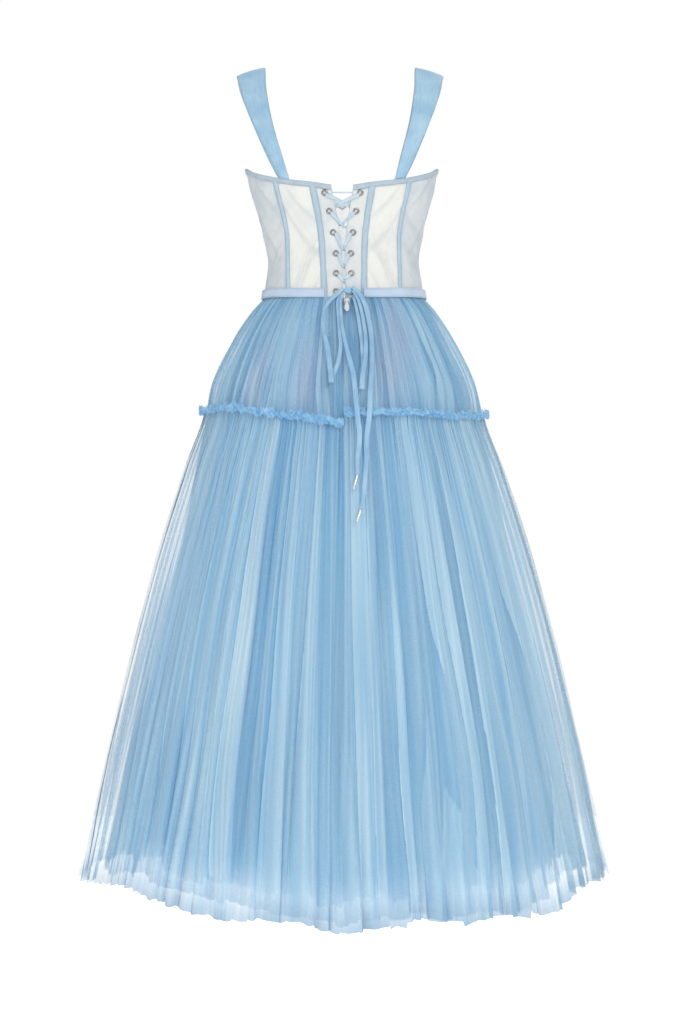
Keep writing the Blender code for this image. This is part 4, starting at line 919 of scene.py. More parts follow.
def net_edges(net, half, turn):
    """Heights of a layer's seam and of its lower edge, and how far its torn end strays from that edge."""
    bearing = bearing_of(turn)
    top = tier_seam(turn, half) + SEAM_OVERLAP[0] if net.rings is LOWER_TIER else waist_seam(turn)
    if net.rings is UPPER_TIER:
        return top, tier_seam(turn, half) - SEAM_OVERLAP[1], 0.0 * turn
    bottom = edge_height(HEM, bearing) + net.hem_rise
    if net.rings is LOWER_TIER and net.inset:
        bottom = bottom + edge_height(SECOND_LAYER_RISE, bearing)
    return top, bottom, torn_hem(turn, net.seed) * (2.0 if net.rings is UNDER_SKIRT else 1.0)


def net_shade(net, turn, share, folds):
    """A layer's lightness, tint and cover. Each pleat has its own shade, is lightest along its front edge, and
    ends in a dark line at the next one: painted light on the edges, crests and gathers, and painted shade in
    the lines and hollows. The sides are see-through, and the hem is pale."""
    number = np.floor(folds.place + 0.58)
    part = folds.place + 0.58 - number
    own = np.random.default_rng(net.seed + 9).uniform(-1, 1, net.pleats)[number.astype(int) % net.pleats]
    # The light front edge and the light and dark of the fine gathers are painted light and shade; the dark
    # line at the next pleat is painted shade.
    edge = np.exp(-part / 0.17) * (0.6 + 0.4 * own)
    slit = np.exp(-(1 - part) / 0.075)
    pleated = (0.42 * edge - 0.66 * slit) * folds.strength
    gathered = (0.08 + 0.20 * np.exp(-share / 0.12)) * folds.fine
    ridge = 0.48 + 0.22 * own + pleated + 0.12 * folds.large + gathered
    # A random tone, and darker just below the seam: painted shade under the waistband and the ruffle.
    ridge = ridge + 0.12 * field(turn, share, 46, 4, net.seed + 8) - 0.15 * np.exp(-share / 0.05)
    bearing = bearing_of(turn)
    off_side = np.abs(bearing) - 90
    thinner = np.where(bearing < 0, *THINNER_SIDES)
    at_side = np.exp(-((off_side / VEIL_REACH) ** 2))
    if net.rings is UPPER_TIER:
        tint = patch_cover(LILAC_CAST, bearing, share)
        # Painted shade in the hollows of the gathers.
        ridge = ridge - patch_cover(HOLLOW_SHADE, bearing, share)
        layers = net.side_layers * at_side * thinner
    else:
        near_hem = np.clip((share - 0.94) / 0.055, 0, 1) ** 1.3
        lower_down = np.clip((share - 0.55) / 0.35, 0, 1)
        veil = VEIL_REACH + np.where(bearing < 0, *VEIL_GROWTH) * lower_down
        aside = np.exp(-((off_side / veil) ** 2))
        tint = 0.85 * near_hem + 0.5 * aside
        ridge = ridge - 0.25 * near_hem
        ridge = ridge + 0.8 * aside * (0.85 - ridge)
        layers = net.hem_layers * near_hem * (1 - 0.75 * at_side) + net.side_layers * aside * thinner
    return {"ridge": np.clip(ridge, 0, 1), "tint": np.clip(tint, 0, 1), "layers": layers}


def net_half(name, net, half, material):
    """One half of a gathered layer of net, from its seam to its torn edge."""
    turn = np.linspace(*HALF_TURNS[half], net.columns)[None, :]
    share = np.linspace(0, 1, net.rows)[:, None] ** 1.1
    tall = net.rings[0].height - net.rings[-1].height
    table = [Ring((net.rings[0].height - ring.height) / tall, *ring[1:]) for ring in net.rings]
    sections = [along(table, float(s)) for s in share[:, 0]]
    half_width, half_depth, fold_depth, squareness = (
        np.array([getattr(section, part) for section in sections])[:, None]
        for part in ("half_width", "half_depth", "fold_depth", "squareness")
    )
    folds = net_folds(net, turn, share, fold_depth)
    # Each ridge leans over the hollow beside it, and hides its far side.
    pleat_lean = PLEAT_LEAN * 360 / net.pleats / (2 * math.pi) * folds.strength * np.sin(folds.phase + 0.55)
    fold_lean = FOLD_LEAN * np.degrees(net.large * fold_depth / half_width) * folds.large
    over = pleat_lean * (0.55 + 0.45 * share) + fold_lean
    leant = np.radians(turn + over * np.clip(share / SEAM_REACH, 0, 1))
    across = np.cos(leant)
    ahead = np.sin(leant)
    power = 2 / squareness
    inset = net.inset * np.clip(share / INSET_REACH, 0, 1) ** 0.75 + LAYER_GAP * (net.inset > 0)
    reach = folds.depth - inset
    x = half_width * np.sign(across) * np.abs(across) ** power + reach * across
    y = half_depth * np.sign(ahead) * np.abs(ahead) ** power + reach * ahead
    top, bottom, torn = net_edges(net, half, turn)
    near_hem = np.clip((share - TEAR_START) / (1 - TEAR_START), 0, 1)
    height = top + (bottom - top) * share + torn * near_hem
    points = np.stack([x, y, height - SHOULDER_HEIGHT], axis=-1)
    girth = 2 * math.pi * net.rings[2].half_width
    uv = np.stack([turn / 360 * girth + 0 * share, share * tall + 0 * turn], axis=-1)
    return grid_object(name, points, uv, material, net_shade(net, turn, share, folds))


NET_PIECES = (
    ("upper", "upper_tulle", UPPER_NET, ("upper_tier_back", "upper_tier_front")),
    ("upper_inner", "upper_tulle", UPPER_INNER_NET, ()),
    ("lower", "lower_tulle", LOWER_NET, ("lower_tier_back", "lower_tier_front")),
    ("lower_inner", "lower_tulle", LOWER_INNER_NET, ()),
    ("under", "under_tulle", UNDER_NET, ("under_skirt",)),
)
for half in ("left", "right"):
    for kind, finish, material, solids in NET_PIECES:
        piece = net_half(f"{kind}_net_{half}", NETS[kind], half, material)
        place_on(piece, finish, *(f"{solid}_{half}" for solid in solids))


RUFFLE_RADII = (0.2152, 0.2078)
RUFFLE_COLUMNS = 1700
RUFFLE_ROWS = 13
RUFFLE_GIRTH = 1.34
RUFFLE_HALF_HEIGHTS = {"left": 0.0061, "right": 0.0052}


def ruffle_half(half):
    """A torn net strip gathered along its middle over the tier seam, so both its edges frill and twist."""
    turn = np.linspace(*HALF_TURNS[half], RUFFLE_COLUMNS)[None, :]
    rise = np.linspace(-1, 1, RUFFLE_ROWS)[:, None]
    down = (rise + 1) / 2
    frill = np.abs(rise) ** 0.8
    a = np.radians(turn)
    twist = 1.6 * rise * field(turn, 0 * down, 70, 1, 21) + 0.8 * frill * field(turn, down, 190, 2, 22)
    tuft = field(turn + twist, down, 150, 3, 23)
    crumple = field(turn + 1.5 * twist, down, 420, 4, 24)
    out = 0.0016 * (1 - rise**2) + 0.0022 * frill * tuft + 0.0016 * crumple
    broad_frill = 0.42 * field(turn, down, 210, 2, 25)
    fine_frill = 0.38 * field(turn + twist, down, 470, 2, 26)
    swell = 0.2 * field(turn, 0 * down, 40, 1, 28)
    edge = 1 + broad_frill + fine_frill + swell
    sag = 0.0012 * field(turn, 0 * down, 110, 1, 29)
    height = tier_seam(turn, half) + rise * RUFFLE_HALF_HEIGHTS[half] * edge + sag
    slanted = a + np.radians(twist * 0.7)
    x = (RUFFLE_RADII[0] + out) * np.cos(slanted)
    y = (RUFFLE_RADII[1] + out) * np.sin(slanted)
    points = np.stack([x, y, height - SHOULDER_HEIGHT], axis=-1)
    uv = np.stack([turn / 360 * RUFFLE_GIRTH + 0 * rise, rise * 0.0086 + 0 * turn], axis=-1)
    # Lightness from the tufts, crumples and overlapping flaps: painted light and shade. The frayed rims are
    # lighter and thinner.
    flap = turn * 1.1 + 2.2 * rise + 0.8 * tuft
    ridge = 0.42 + 0.12 * tuft + 0.22 * crumple + 0.22 * ((flap / 2.1 % 1) - 0.5)
    rim = np.clip((np.abs(rise) - 0.7) / 0.3, 0, 1) * (0.6 + 0.4 * field(turn, down, 600, 2, 27))
    values = {"ridge": np.clip(ridge + 0.25 * rim, 0, 1), "layers": -0.55 * rim}
    piece = grid_object(f"tier_ruffle_{half}_strip", points, uv, RUFFLE_NET, values)
    place_on(piece, "ruffle_tulle", f"tier_ruffle_{half}")


for half in ("left", "right"):
    ruffle_half(half)


# The bodice


def turn_at(x, height, face):
    """The turn of a place on the bodice's right half, x from the middle. face is -1 behind and 1 in front."""
    share = min(1.0, max(0.0, x / along(BODICE, height).half_width))
    return face * math.degrees(math.acos(share ** (BODY_SQUARENESS / 2)))


def bodice_point(turn, height, lift):
    """A place on the bodice's right half, lift outside its cloth, with the cups' fullness in front."""
    section = along(BODICE, height)
    behind = math.sin(math.radians(turn)) < 0
    depth = section.back_depth if behind else section.front_depth
    point, outward = oval(turn, section.half_width, depth, BODY_SQUARENESS)
    if not behind:
        aside = (abs(point.x) - CUP_MIDDLE[0]) / CUP_SPREAD[0]
        above = (height - CUP_MIDDLE[1]) / CUP_SPREAD[1]
        point += outward * CUP_DEPTH * math.exp(-(aside**2) - above**2) * math.sin(math.radians(turn))
    point += outward * lift
    return Vector((point.x, point.y, height))


def on_bodice(turn, height, lift, side):
    """A place in the frame on one half of the bodice. side is 1 for the wearer's right, -1 for the left."""
    point = bodice_point(turn, height, lift)
    return in_frame(point.x * side, point.y, point.z)


def back_seam(column):
    """A seam of the back, as the turn it has at each height."""
    return lambda height: turn_at(getattr(along(BACK_SEAMS, height), column), height, -1)


def front_seam(height):
    """Turn of the seam beside the cup and the front panel."""
    return turn_at(along(FRONT_SEAM, height).height, height, 1)


def side_seam(height):
    """Turn of the seam under the arm."""
    return 0.0


def front_middle(height):
    """Turn of the middle of the front."""
    return 90.0


def height_on(edge, seams, share):
    """Height of an edge at a share of the way between two seams, found by settling from a first guess."""
    height = 1.04
    for _ in range(8):
        start, end = (seam(height) for seam in seams)
        x = bodice_point(start + (end - start) * share, height, 0.0).x
        height = along(edge, abs(x)).height
    return height


def to_waist(seams):
    """The waist seam as a panel's bottom edge."""

    def bottom(share):
        start, end = (seam(WAIST_SEAM_BACK) for seam in seams)
        return float(waist_seam(start + (end - start) * share))

    return bottom


def to_edge(edge, seams):
    """A table's edge as a panel's top or bottom."""
    return lambda share: height_on(edge, seams, share)


Wrinkle = namedtuple("Wrinkle", "share rise slope length width depth")
# share is across a panel from its inner seam, rise is up it, slope is rise per share, and length and width
# are shares of the panel. depth is in metres.
WRINKLES = {
    "lacing_panel": (
        Wrinkle(0.5, 0.82, 0.25, 0.5, 0.035, 0.0005), Wrinkle(0.5, 0.30, -0.2, 0.5, 0.04, 0.0004),
    ),
    "back_panel": (
        Wrinkle(0.35, 0.80, 0.35, 0.42, 0.035, 0.0014), Wrinkle(0.62, 0.62, 0.50, 0.40, 0.040, 0.0013),
        Wrinkle(0.30, 0.52, 0.45, 0.34, 0.035, -0.0012), Wrinkle(0.45, 0.30, -0.85, 0.34, 0.040, 0.0018),
        Wrinkle(0.68, 0.20, -0.75, 0.30, 0.035, 0.0015), Wrinkle(0.30, 0.13, -0.6, 0.30, 0.035, 0.0014),
        Wrinkle(0.80, 0.10, -0.5, 0.25, 0.03, 0.0012), Wrinkle(0.22, 0.42, -0.55, 0.22, 0.03, 0.0012),
    ),
    "side_back_panel": (
        Wrinkle(0.30, 0.85, 0.55, 0.35, 0.035, 0.0013), Wrinkle(0.55, 0.55, 0.6, 0.40, 0.045, 0.0015),
        Wrinkle(0.35, 0.33, -0.5, 0.35, 0.04, 0.0016), Wrinkle(0.50, 0.20, -0.7, 0.35, 0.035, 0.0016),
        Wrinkle(0.35, 0.08, -0.5, 0.3, 0.03, 0.0013), Wrinkle(0.75, 0.40, 0.4, 0.25, 0.04, 0.0015),
        Wrinkle(0.20, 0.62, -0.4, 0.25, 0.035, -0.0012),
    ),
    "side_front_panel": (
        Wrinkle(0.4, 0.75, 0.5, 0.4, 0.04, 0.0010), Wrinkle(0.5, 0.40, -0.5, 0.4, 0.04, 0.0013),
        Wrinkle(0.5, 0.15, -0.6, 0.35, 0.035, 0.0012),
    ),
    "cup": (Wrinkle(0.35, 0.70, -0.4, 0.3, 0.05, 0.0007), Wrinkle(0.65, 0.30, 0.5, 0.3, 0.05, 0.0008)),
    "front_panel": (Wrinkle(0.4, 0.6, 0.5, 0.3, 0.05, 0.0010), Wrinkle(0.6, 0.25, -0.6, 0.3, 0.05, 0.0011)),
}
# How cool each panel's colour is: the lacing panels and the sides are greyer than the back panels. On the
# sides the grey is painted shade.
COOL_TONE_AND_SIDE_SHADE = {
    "lacing_panel": 0.50, "back_panel": 0.02, "side_back_panel": 0.42, "side_front_panel": 0.5, "cup": 0.3,
    "front_panel": 0.3,
}


def wrinkled(kind, share, rise, side):
    """How far wrinkles lift or sink the cloth at a place on a panel, and how shaded it is there."""
    total = 0.0003 * math.sin(9 * share + 5 * rise + side) * math.sin(13 * rise + 2 * side)
    shade = 0.0
    for row in WRINKLES[kind]:
        across = share - row.share - 0.03 * side
        up = rise - row.rise - 0.02 * side - row.slope * across - 0.3 * across**2
        run = math.exp(-((across / row.length) ** 2))
        total += row.depth * math.exp(-((up / row.width) ** 2)) * run
        # Painted shade just below each wrinkle.
        below = up / row.width + 1.1
        shade += abs(row.depth) / 0.0016 * 0.30 * math.exp(-(below**2)) * run
    edge_share = min(share, 1 - share, 0.08) / 0.08
    edge_rise = min(rise, 1 - rise, 0.05) / 0.05
    return total * edge_share * edge_rise, min(shade, 0.8)


SEAM_INSET = 0.0002
BODICE_GIRTH = 0.74
PANEL_THICKNESS = 0.0006
PANEL_SINK = 0.0001  # how far the cloth lies inside the bodice's own outline


def panel(kind, word, side, seams, bottom, top, columns, rows, nodes):
    """A corset panel between two seams, as thin cloth with its wrinkles."""
    inset = math.degrees(SEAM_INSET / BODICE[0].half_width)
    points = np.empty((rows, columns, 3))
    uv = np.empty((rows, columns, 2))
    cool = np.empty((rows, columns))
    crease = np.empty((rows, columns))
    for column in range(columns):
        share = column / (columns - 1)
        low = bottom(share)
        high = top(share)
        for row in range(rows):
            rise = row / (rows - 1)
            height = low + (high - low) * rise
            start, end = (seam(height) for seam in seams)
            way = math.copysign(inset, end - start)
            last = 0.0 if seams[1] is front_middle else way
            turn = start + way + (end - start - way - last) * share
            wrinkle, shade = wrinkled(kind, share, rise, side)
            points[row, column] = on_bodice(turn, height, wrinkle - PANEL_SINK, side)
            uv[row, column] = (turn / 360 * BODICE_GIRTH * side, height)
            # Cooler near the seams, and greyer towards the sides under the arms: painted shade there.
            near_seam = max(0.0, 1 - min(share, 1 - share) / 0.16)
            at_side = max(0.0, math.cos(math.radians(turn)))
            cool[row, column] = COOL_TONE_AND_SIDE_SHADE[kind] + 0.35 * near_seam**1.5 + 0.4 * at_side**4
            crease[row, column] = shade
    if side < 0:
        points, uv, cool, crease = (rows_of[:, ::-1] for rows_of in (points, uv, cool, crease))
    material = SHEER_MESH if kind in ("cup", "front_panel") else LINED_MESH
    values = {"ridge": cool, "crease": crease}
    made = grid_object(f"{kind}_{word}_cloth", points, uv, material, values, solid=PANEL_THICKNESS)
    return place_on(made, "sheer_mesh", *nodes)


def make_panels():
    """The corset's panels, each half from the laced opening round to the front."""
    opening, bone_inner, bone_outer = (back_seam(name) for name in ("opening", "bone_inner", "bone_outer"))
    for side, word in ((1, "right"), (-1, "left")):
        back_pieces = (
            ("lacing_panel", (opening, bone_inner), BACK_TOP, 16, 70),
            ("back_panel", (bone_inner, bone_outer), BACK_TOP, 44, 90),
            ("side_back_panel", (bone_outer, side_seam), BACK_TOP, 40, 90),
            ("side_front_panel", (side_seam, front_seam), FRONT_TOP, 20, 60),
        )
        for kind, seams, edge, columns, rows in back_pieces:
            nodes = [f"{kind}_{word}"]
            panel(kind, word, side, seams, to_waist(seams), to_edge(edge, seams), columns, rows, nodes)
        seams = (front_seam, front_middle)
        under_bust = to_edge(UNDER_BUST, seams)
        panel("cup", word, side, seams, under_bust, to_edge(FRONT_TOP, seams), 32, 34, [f"cup_{word}"])
        nodes = ["front_panel"] if side == 1 else []
        panel("front_panel", word, side, seams, to_waist(seams), under_bust, 32, 34, nodes)


make_panels()


def strip(name, places, profile, material, slot, nodes, taper=None):
    """A sewn-on strip. places gives (turn, height, side) along it, profile gives (offset up, lift out) across
    it, and taper says how wide it is at each place."""
    shares = taper or [1.0] * len(places)
    points = np.array([
        [
            on_bodice(turn, height + up * share, lift * (0.3 + 0.7 * share), side)
            for (turn, height, side), share in zip(places, shares)
        ]
        for up, lift in profile
    ])
    steps = np.linalg.norm(np.diff(points[0], axis=0), axis=1)
    travelled = np.concatenate([[0.0], np.cumsum(steps)])
    uv = np.array([[(distance, up) for distance in travelled] for up, _ in profile])
    made = grid_object(name, points, uv, material)
    return place_on(made, slot, *nodes)


BONE_TAPE_WIDTH = 0.0085
# Half of a tape's section: the share of its half width, and how far it stands out of the cloth.
BONE_TAPE_HALF = (
    (-1.0, 0.0003), (-0.98, 0.0008), (-0.72, 0.0010), (-0.62, 0.0016), (-0.3, 0.0022), (0.0, 0.0024),
)
BACK_TAPE_STOP = 0.0030  # how far below the bodice's edge a tape ends
FRONT_TAPE_STOP = 0.0004
FRONT_TAPE_X = 0.052
FRONT_TAPE_TURN = 60
BINDING_WIDTH = 0.0072
FRONT_BINDING_LIFT = 0.0004


def tape(name, seam, bottom, top, side, node):
    """A boned tape up a seam, rounded over its bone, with flat stitched edges."""
    half = math.degrees(BONE_TAPE_WIDTH / 2 / BODICE[2].half_width)
    profile = BONE_TAPE_HALF + tuple((-share, lift) for share, lift in BONE_TAPE_HALF[-2::-1])
    heights = np.linspace(bottom, top, 48)
    points = np.array([
        [on_bodice(seam(height) + half * share, height, lift, side) for share, lift in profile]
        for height in heights
    ])
    uv = np.array([[(height, share * BONE_TAPE_WIDTH / 2) for share, _ in profile] for height in heights])
    if side < 0:
        points = points[:, ::-1]
        uv = uv[:, ::-1]
    made = grid_object(name, points, uv, BONE_TAPE)
    return place_on(made, "bone_tape", node)


def make_tapes():
    """The boned tapes: two up each half of the back, and one up each half of the front to the bust."""
    for side, word in ((1, "right"), (-1, "left")):
        for kind, column in (("inner", "bone_inner"), ("outer", "bone_outer")):
            seam = back_seam(column)
            bottom = float(waist_seam(seam(WAIST_SEAM_BACK)))
            top = height_on(BACK_TOP, (seam, seam), 0.0) - BACK_TAPE_STOP
            node = f"bone_tape_{kind}_{word}"
            tape(f"{node}_strip", seam, bottom, top, side, node)

        def seam(height):
            return turn_at(FRONT_TAPE_X, height, 1)

        bottom = float(waist_seam(FRONT_TAPE_TURN))
        top = height_on(UNDER_BUST, (seam, seam), 0.0) - FRONT_TAPE_STOP
        node = f"bone_tape_front_{word}"
        tape(f"{node}_strip", seam, bottom, top, side, node)


make_tapes()

# Sections of the binding, folded over the top edge, and of the waistband: (offset up, lift out).
BINDING_PROFILE = (
    (-BINDING_WIDTH, 0.0004), (-BINDING_WIDTH, 0.0016), (-0.0062, 0.0023), (-0.0035, 0.0026),
    (-0.0012, 0.0023), (0.0004, 0.0012), (0.0008, -0.0004), (0.0002, -0.0018), (-0.0020, -0.0024),
    (-0.0060, -0.0022),
)
WAISTBAND_HEIGHT = 0.0135
WAISTBAND_GAP_X = 0.0285
WAISTBAND_END = turn_at(WAISTBAND_GAP_X, 0.87, -1)
WAISTBAND_PROFILE = (
    (0.0002, 0.0010), (0.0000, 0.0030), (0.0008, 0.0038), (0.0030, 0.0040), (0.0068, 0.0042),
    (WAISTBAND_HEIGHT - 0.0030, 0.0040), (WAISTBAND_HEIGHT - 0.0008, 0.0037), (WAISTBAND_HEIGHT, 0.0028),
    (WAISTBAND_HEIGHT - 0.0002, 0.0010),
)


def whole_turn(turn):
    """A turn from 0 to 180 round the front, as the turn on its own half and the side."""
    return (turn, 1) if turn <= 90 else (180 - turn, -1)


def make_bands():
    """The top binding in three lengths, and the waistband, whose ends stop at the lacing panels."""
    opening = back_seam("opening")
    for side, word in ((1, "right"), (-1, "left")):
        seams = (opening, side_seam)
        places = []
        taper = []
        for step in range(61):
            share = step / 60
            height = height_on(BACK_TOP, seams, share)
            start = opening(height)
            places.append((start - start * share, height, side))
            taper.append(1 - 0.75 * max(0.0, share / 0.12 - 7.33) ** 1.5)
        if side < 0:
            places = places[::-1]
            taper = taper[::-1]
        name = f"top_binding_back_{word}"
        strip(f"{name}_strip", places, BINDING_PROFILE, BINDING_TAPE, "bone_tape", [name], taper)
    places = []
    taper = []
    for step in range(121):
        own, side = whole_turn(180.0 * step / 120)
        height = height_on(FRONT_TOP, (lambda _, own=own: own, lambda _, own=own: own), 0.0)
        places.append((own, height, side))
        taper.append(min(1.0, 0.3 + own / 14))
    front_profile = tuple((up, lift + FRONT_BINDING_LIFT) for up, lift in BINDING_PROFILE)
    name = "top_binding_front"
    strip(f"{name}_strip", places, front_profile, LIGHTENED_FRONT_TAPE, "bone_tape", [name], taper)
    places = []
    for step in range(221):
        own, side = whole_turn(WAISTBAND_END + (180 - 2 * WAISTBAND_END) * step / 220)
        places.append((own, float(waist_seam(own)), side))
    strip("waistband_strip", places, WAISTBAND_PROFILE, WAIST_SATIN, "satin", ["waistband"])


make_bands()


STRAP_THICKNESS = 0.0012
STRAP_CROWN = 0.0014


def make_straps():
    """The two wide satin straps, domed a little across."""
    for side, word in ((1, "right"), (-1, "left")):
        stations = [
            (in_frame(row.x * side, row.y, row.height), row.width, Vector((side, row.edge_y, row.edge_z)))
            for row in STRAP
        ]
        made, _ = ribbon_object(
            f"strap_{word}_satin", SATIN, stations, STRAP_THICKNESS, steps=6, crown=-side * STRAP_CROWN,
            square=False, shares=11,
        )
        place_on(made, "satin", f"strap_{word}")


make_straps()


# Eyelets, lace and knot


def back_place(x, height, lift):
    """A place behind the bodice, x from the middle line and lift outside the cloth."""
    side = 1 if x >= 0 else -1
    return on_bodice(turn_at(abs(x), height, -1), height, lift, side)


def outward_at(x, height):
    """The way the cloth faces at a place behind the bodice."""
    step = 0.004
    aside = back_place(x + step, height, 0.0) - back_place(x - step, height, 0.0)
    upward = back_place(x, height + step, 0.0) - back_place(x, height - step, 0.0)
    return aside.cross(upward).normalized()


def node_tree(name, sizes):
    """A geometry tree with its named inputs: a Geometry socket, then one for each size."""
    tree = bpy.data.node_groups.new(name, "GeometryNodeTree")
    tree.interface.new_socket("Geometry", in_out="INPUT", socket_type="NodeSocketGeometry")
    for label, value in sizes.items():
        socket = tree.interface.new_socket(label, in_out="INPUT", socket_type="NodeSocketFloat")
        socket.default_value = value
    tree.interface.new_socket("Geometry", in_out="OUTPUT", socket_type="NodeSocketGeometry")
    return tree, add(tree, "NodeGroupInput"), add(tree, "NodeGroupOutput")


def finish_tree(tree, out, geometry, material):
    """Ends a tree with real meshes in their material, because instances aren't exported."""
    real = add(tree, "GeometryNodeRealizeInstances", {"Geometry": geometry}).outputs["Geometry"]
    painted = add(tree, "GeometryNodeSetMaterial", {"Geometry": real, "Material": material})
    give(tree, out, {"Geometry": painted.outputs["Geometry"]})


def baked(name, base, tree, sizes):
    """The plain mesh that a tree makes from a base mesh, as a new object."""
    holder = bpy.data.objects.new(name + "_base", base)
    bpy.context.scene.collection.objects.link(holder)
    change = holder.modifiers.new("Nodes", "NODES")
    change.node_group = tree
    for item in tree.interface.items_tree:
        if item.item_type == "SOCKET" and item.in_out == "INPUT" and item.name in sizes:
            change[item.identifier] = sizes[item.name]
    graph = bpy.context.evaluated_depsgraph_get()
    graph.update()
    mesh = bpy.data.meshes.new_from_object(holder.evaluated_get(graph))
    holder.modifiers.remove(change)
    bpy.data.objects.remove(holder)
    made = bpy.data.objects.new(name, mesh)
    bpy.context.scene.collection.objects.link(made)
    return made


def make_eyelets():
    """Rolled metal rings, one through each hole of the lacing panels."""
    sizes = {
        "Ring radius": EYELET_RING_RADIUS, "Wire radius": EYELET_WIRE_RADIUS, "Flatness": EYELET_FLATNESS,
    }
    tree, given, out = node_tree("Eyelets on points", sizes)
    ring, wire = (
        add(tree, "GeometryNodeCurvePrimitiveCircle", {"Resolution": sides, "Radius": given.outputs[radius]})
        for sides, radius in ((36, "Ring radius"), (12, "Wire radius"))
    )
    rolled = add(tree, "GeometryNodeCurveToMesh", {
        "Curve": ring.outputs["Curve"], "Profile Curve": wire.outputs["Curve"],
    })
    flat = add(tree, "ShaderNodeCombineXYZ", {"X": 1.0, "Y": 1.0, "Z": given.outputs["Flatness"]})
    pressed = add(tree, "GeometryNodeTransform", {
        "Geometry": rolled.outputs["Mesh"], "Scale": flat.outputs["Vector"],
    })
    facing = add(tree, "GeometryNodeInputNamedAttribute", {"Name": "outward"}, data_type="FLOAT_VECTOR")
    turned = add(tree, "FunctionNodeAlignRotationToVector", {"Vector": facing.outputs["Attribute"]}, axis="Z")
    smooth = add(tree, "GeometryNodeSetShadeSmooth", {"Geometry": pressed.outputs["Geometry"]})
    copies = add(tree, "GeometryNodeInstanceOnPoints", {
        "Points": given.outputs["Geometry"], "Instance": smooth.outputs["Geometry"],
        "Rotation": turned.outputs["Rotation"],
    })
    finish_tree(tree, out, copies.outputs["Instances"], DARKENED_EYELET_METAL)
    spots = []
    facings = []
    for side in (1, -1):
        for height in EYELET_HEIGHTS:
            x = side * along(BACK_SEAMS, height).eyelet
            outward = outward_at(x, height)
            for lift in EYELET_LIFTS:
                spots.append(back_place(x, height, lift))
                facings.append(outward)
    base = bpy.data.meshes.new("eyelet spots")
    base.from_pydata([tuple(spot) for spot in spots], [], [])
    attribute = base.attributes.new("outward", "FLOAT_VECTOR", "POINT")
    attribute.data.foreach_set("vector", np.array(facings, np.float32).reshape(-1))
    made = baked("eyelet_rings", base, tree, sizes)
    nodes = [f"eyelet_{word}_{number}" for word in ("left", "right") for number in range(1, 7)]
    place_on(made, "silvered_metal", *nodes)


make_eyelets()

Lace = namedtuple("Lace", "x height lift width upright")
LACE_OUT = 0.0020
LACE_IN = -0.0040
LACE_STAGGER = 0.0026
OUT_OF_CLOTH = Vector((0.0, -1.0, 0.0))


def lace_crossing(side, here, crossing, there):
    """The lace from over its own panel into the gap at a crossing, and in under the other panel."""
    opening = along(BACK_SEAMS, crossing).opening
    if opening > 0.008:
        over = 0.0011 if side == 1 else -0.0005
        return [
            Lace(side * 0.0050, here - 0.78 * (here - crossing), over + 0.0003, 0.0050, 0),
            Lace(-side * 0.0042, crossing - 0.22 * (crossing - there), over, 0.0046, 0),
            Lace(-side * (opening - 0.0004), crossing - 0.5 * (crossing - there), -0.0030, 0.0042, 0),
        ]
    level = crossing + side * LACE_STAGGER * 0.6
    return [
        Lace(side * 0.0014, level + 0.0010, 0.0010, 0.0036, 0),
        Lace(-side * 0.0004, level - 0.0012, -0.0020, 0.0032, 0),
        Lace(-side * (opening + 0.0032), level - 0.25 * (crossing - there), LACE_IN, 0.0032, 0),
    ]


LACE_FOLDED = 0.0026  # its width where it is folded to go through an eyelet
LACE_BEHIND = 0.0032  # its width behind the lacing panels
LACE_THICKNESS = 0.0007


def lace_stations(side):
    """One half of the lace, from the top eyelet of a side down to the knot. It leaves each eyelet by the edge
    that faces the middle, so most of the ring and its hole stay in view."""
    places = []
    if side == -1:
        places += [Lace(x, EYELET_HEIGHTS[0] + 0.0004, -0.0022, 0.0022, 1) for x in (0.0250, 0.0, -0.0210)]
    for number, crossing in enumerate(CROSSING_HEIGHTS):
        here = EYELET_HEIGHTS[number]
        there = EYELET_HEIGHTS[number + 1]
        x_here = side * along(BACK_SEAMS, here).eyelet
        x_there = -side * along(BACK_SEAMS, there).eyelet
        places += [
            Lace(x_here - side * 0.0012, here - 0.0002, LACE_IN, LACE_FOLDED, 0),
            Lace(x_here - side * 0.0017, here - 0.0006, -0.0006, LACE_FOLDED, 0),
            Lace(x_here - side * 0.0029, here - 0.0018, 0.0019, 0.0030, 0),
            Lace(x_here - side * 0.0052, here - 0.0046, 0.0016, 0.0054, 0),
        ]
        places += lace_crossing(side, here, crossing, there)
        places.append(Lace(x_there + side * 0.0030, there + 0.0040, LACE_IN, LACE_BEHIND, 0))
        side = -side
    last = EYELET_HEIGHTS[-1]
    x_last = side * along(BACK_SEAMS, last).eyelet
    places += [
        Lace(x_last - side * 0.0012, last, LACE_IN, LACE_FOLDED, 0),
        Lace(x_last - side * 0.0016, last, -0.0006, LACE_FOLDED, 0),
    ]
    if side == -1:
        places += [
            Lace(x_last + 0.0029, last + 0.0002, 0.0019, LACE_FOLDED, 0),
            Lace(x_last + 0.0056, last + 0.0004, 0.0022, 0.0036, 0),
            Lace(-0.0006, last + 0.0004, LACE_OUT + 0.0018, 0.0036, 0),
        ]
    else:
        places.append(Lace(x_last - 0.0026, last, 0.0016, LACE_FOLDED, 0))
    return places


def make_lace():
    """Both halves of the lace, laid flat on the cloth except along the topmost run."""
    for side, word in ((-1, "left"), (1, "right")):
        places = lace_stations(side)
        points = [back_place(row.x, row.height, row.lift) for row in places]
        stations = []
        for number, row in enumerate(places):
            ahead = points[min(number + 2, len(points) - 1)] - points[max(number - 2, 0)]
            edge = OUT_OF_CLOTH.cross(Vector((ahead.x, 0.0, ahead.z))).normalized()
            if row.upright:
                edge = Vector((0.0, 0.0, row.upright))
            stations.append((points[number], row.width, edge))
        made, _ = ribbon_object(f"lace_{word}_ribbon", LACE, stations, LACE_THICKNESS, steps=4)
        place_on(made, "satin_ribbon", f"lace_{word}")


make_lace()

KNOT_PLACE = (0.0055, 0.8735, 0.0047)
KNOT_RADII = (0.0066, 0.0036, 0.0052)


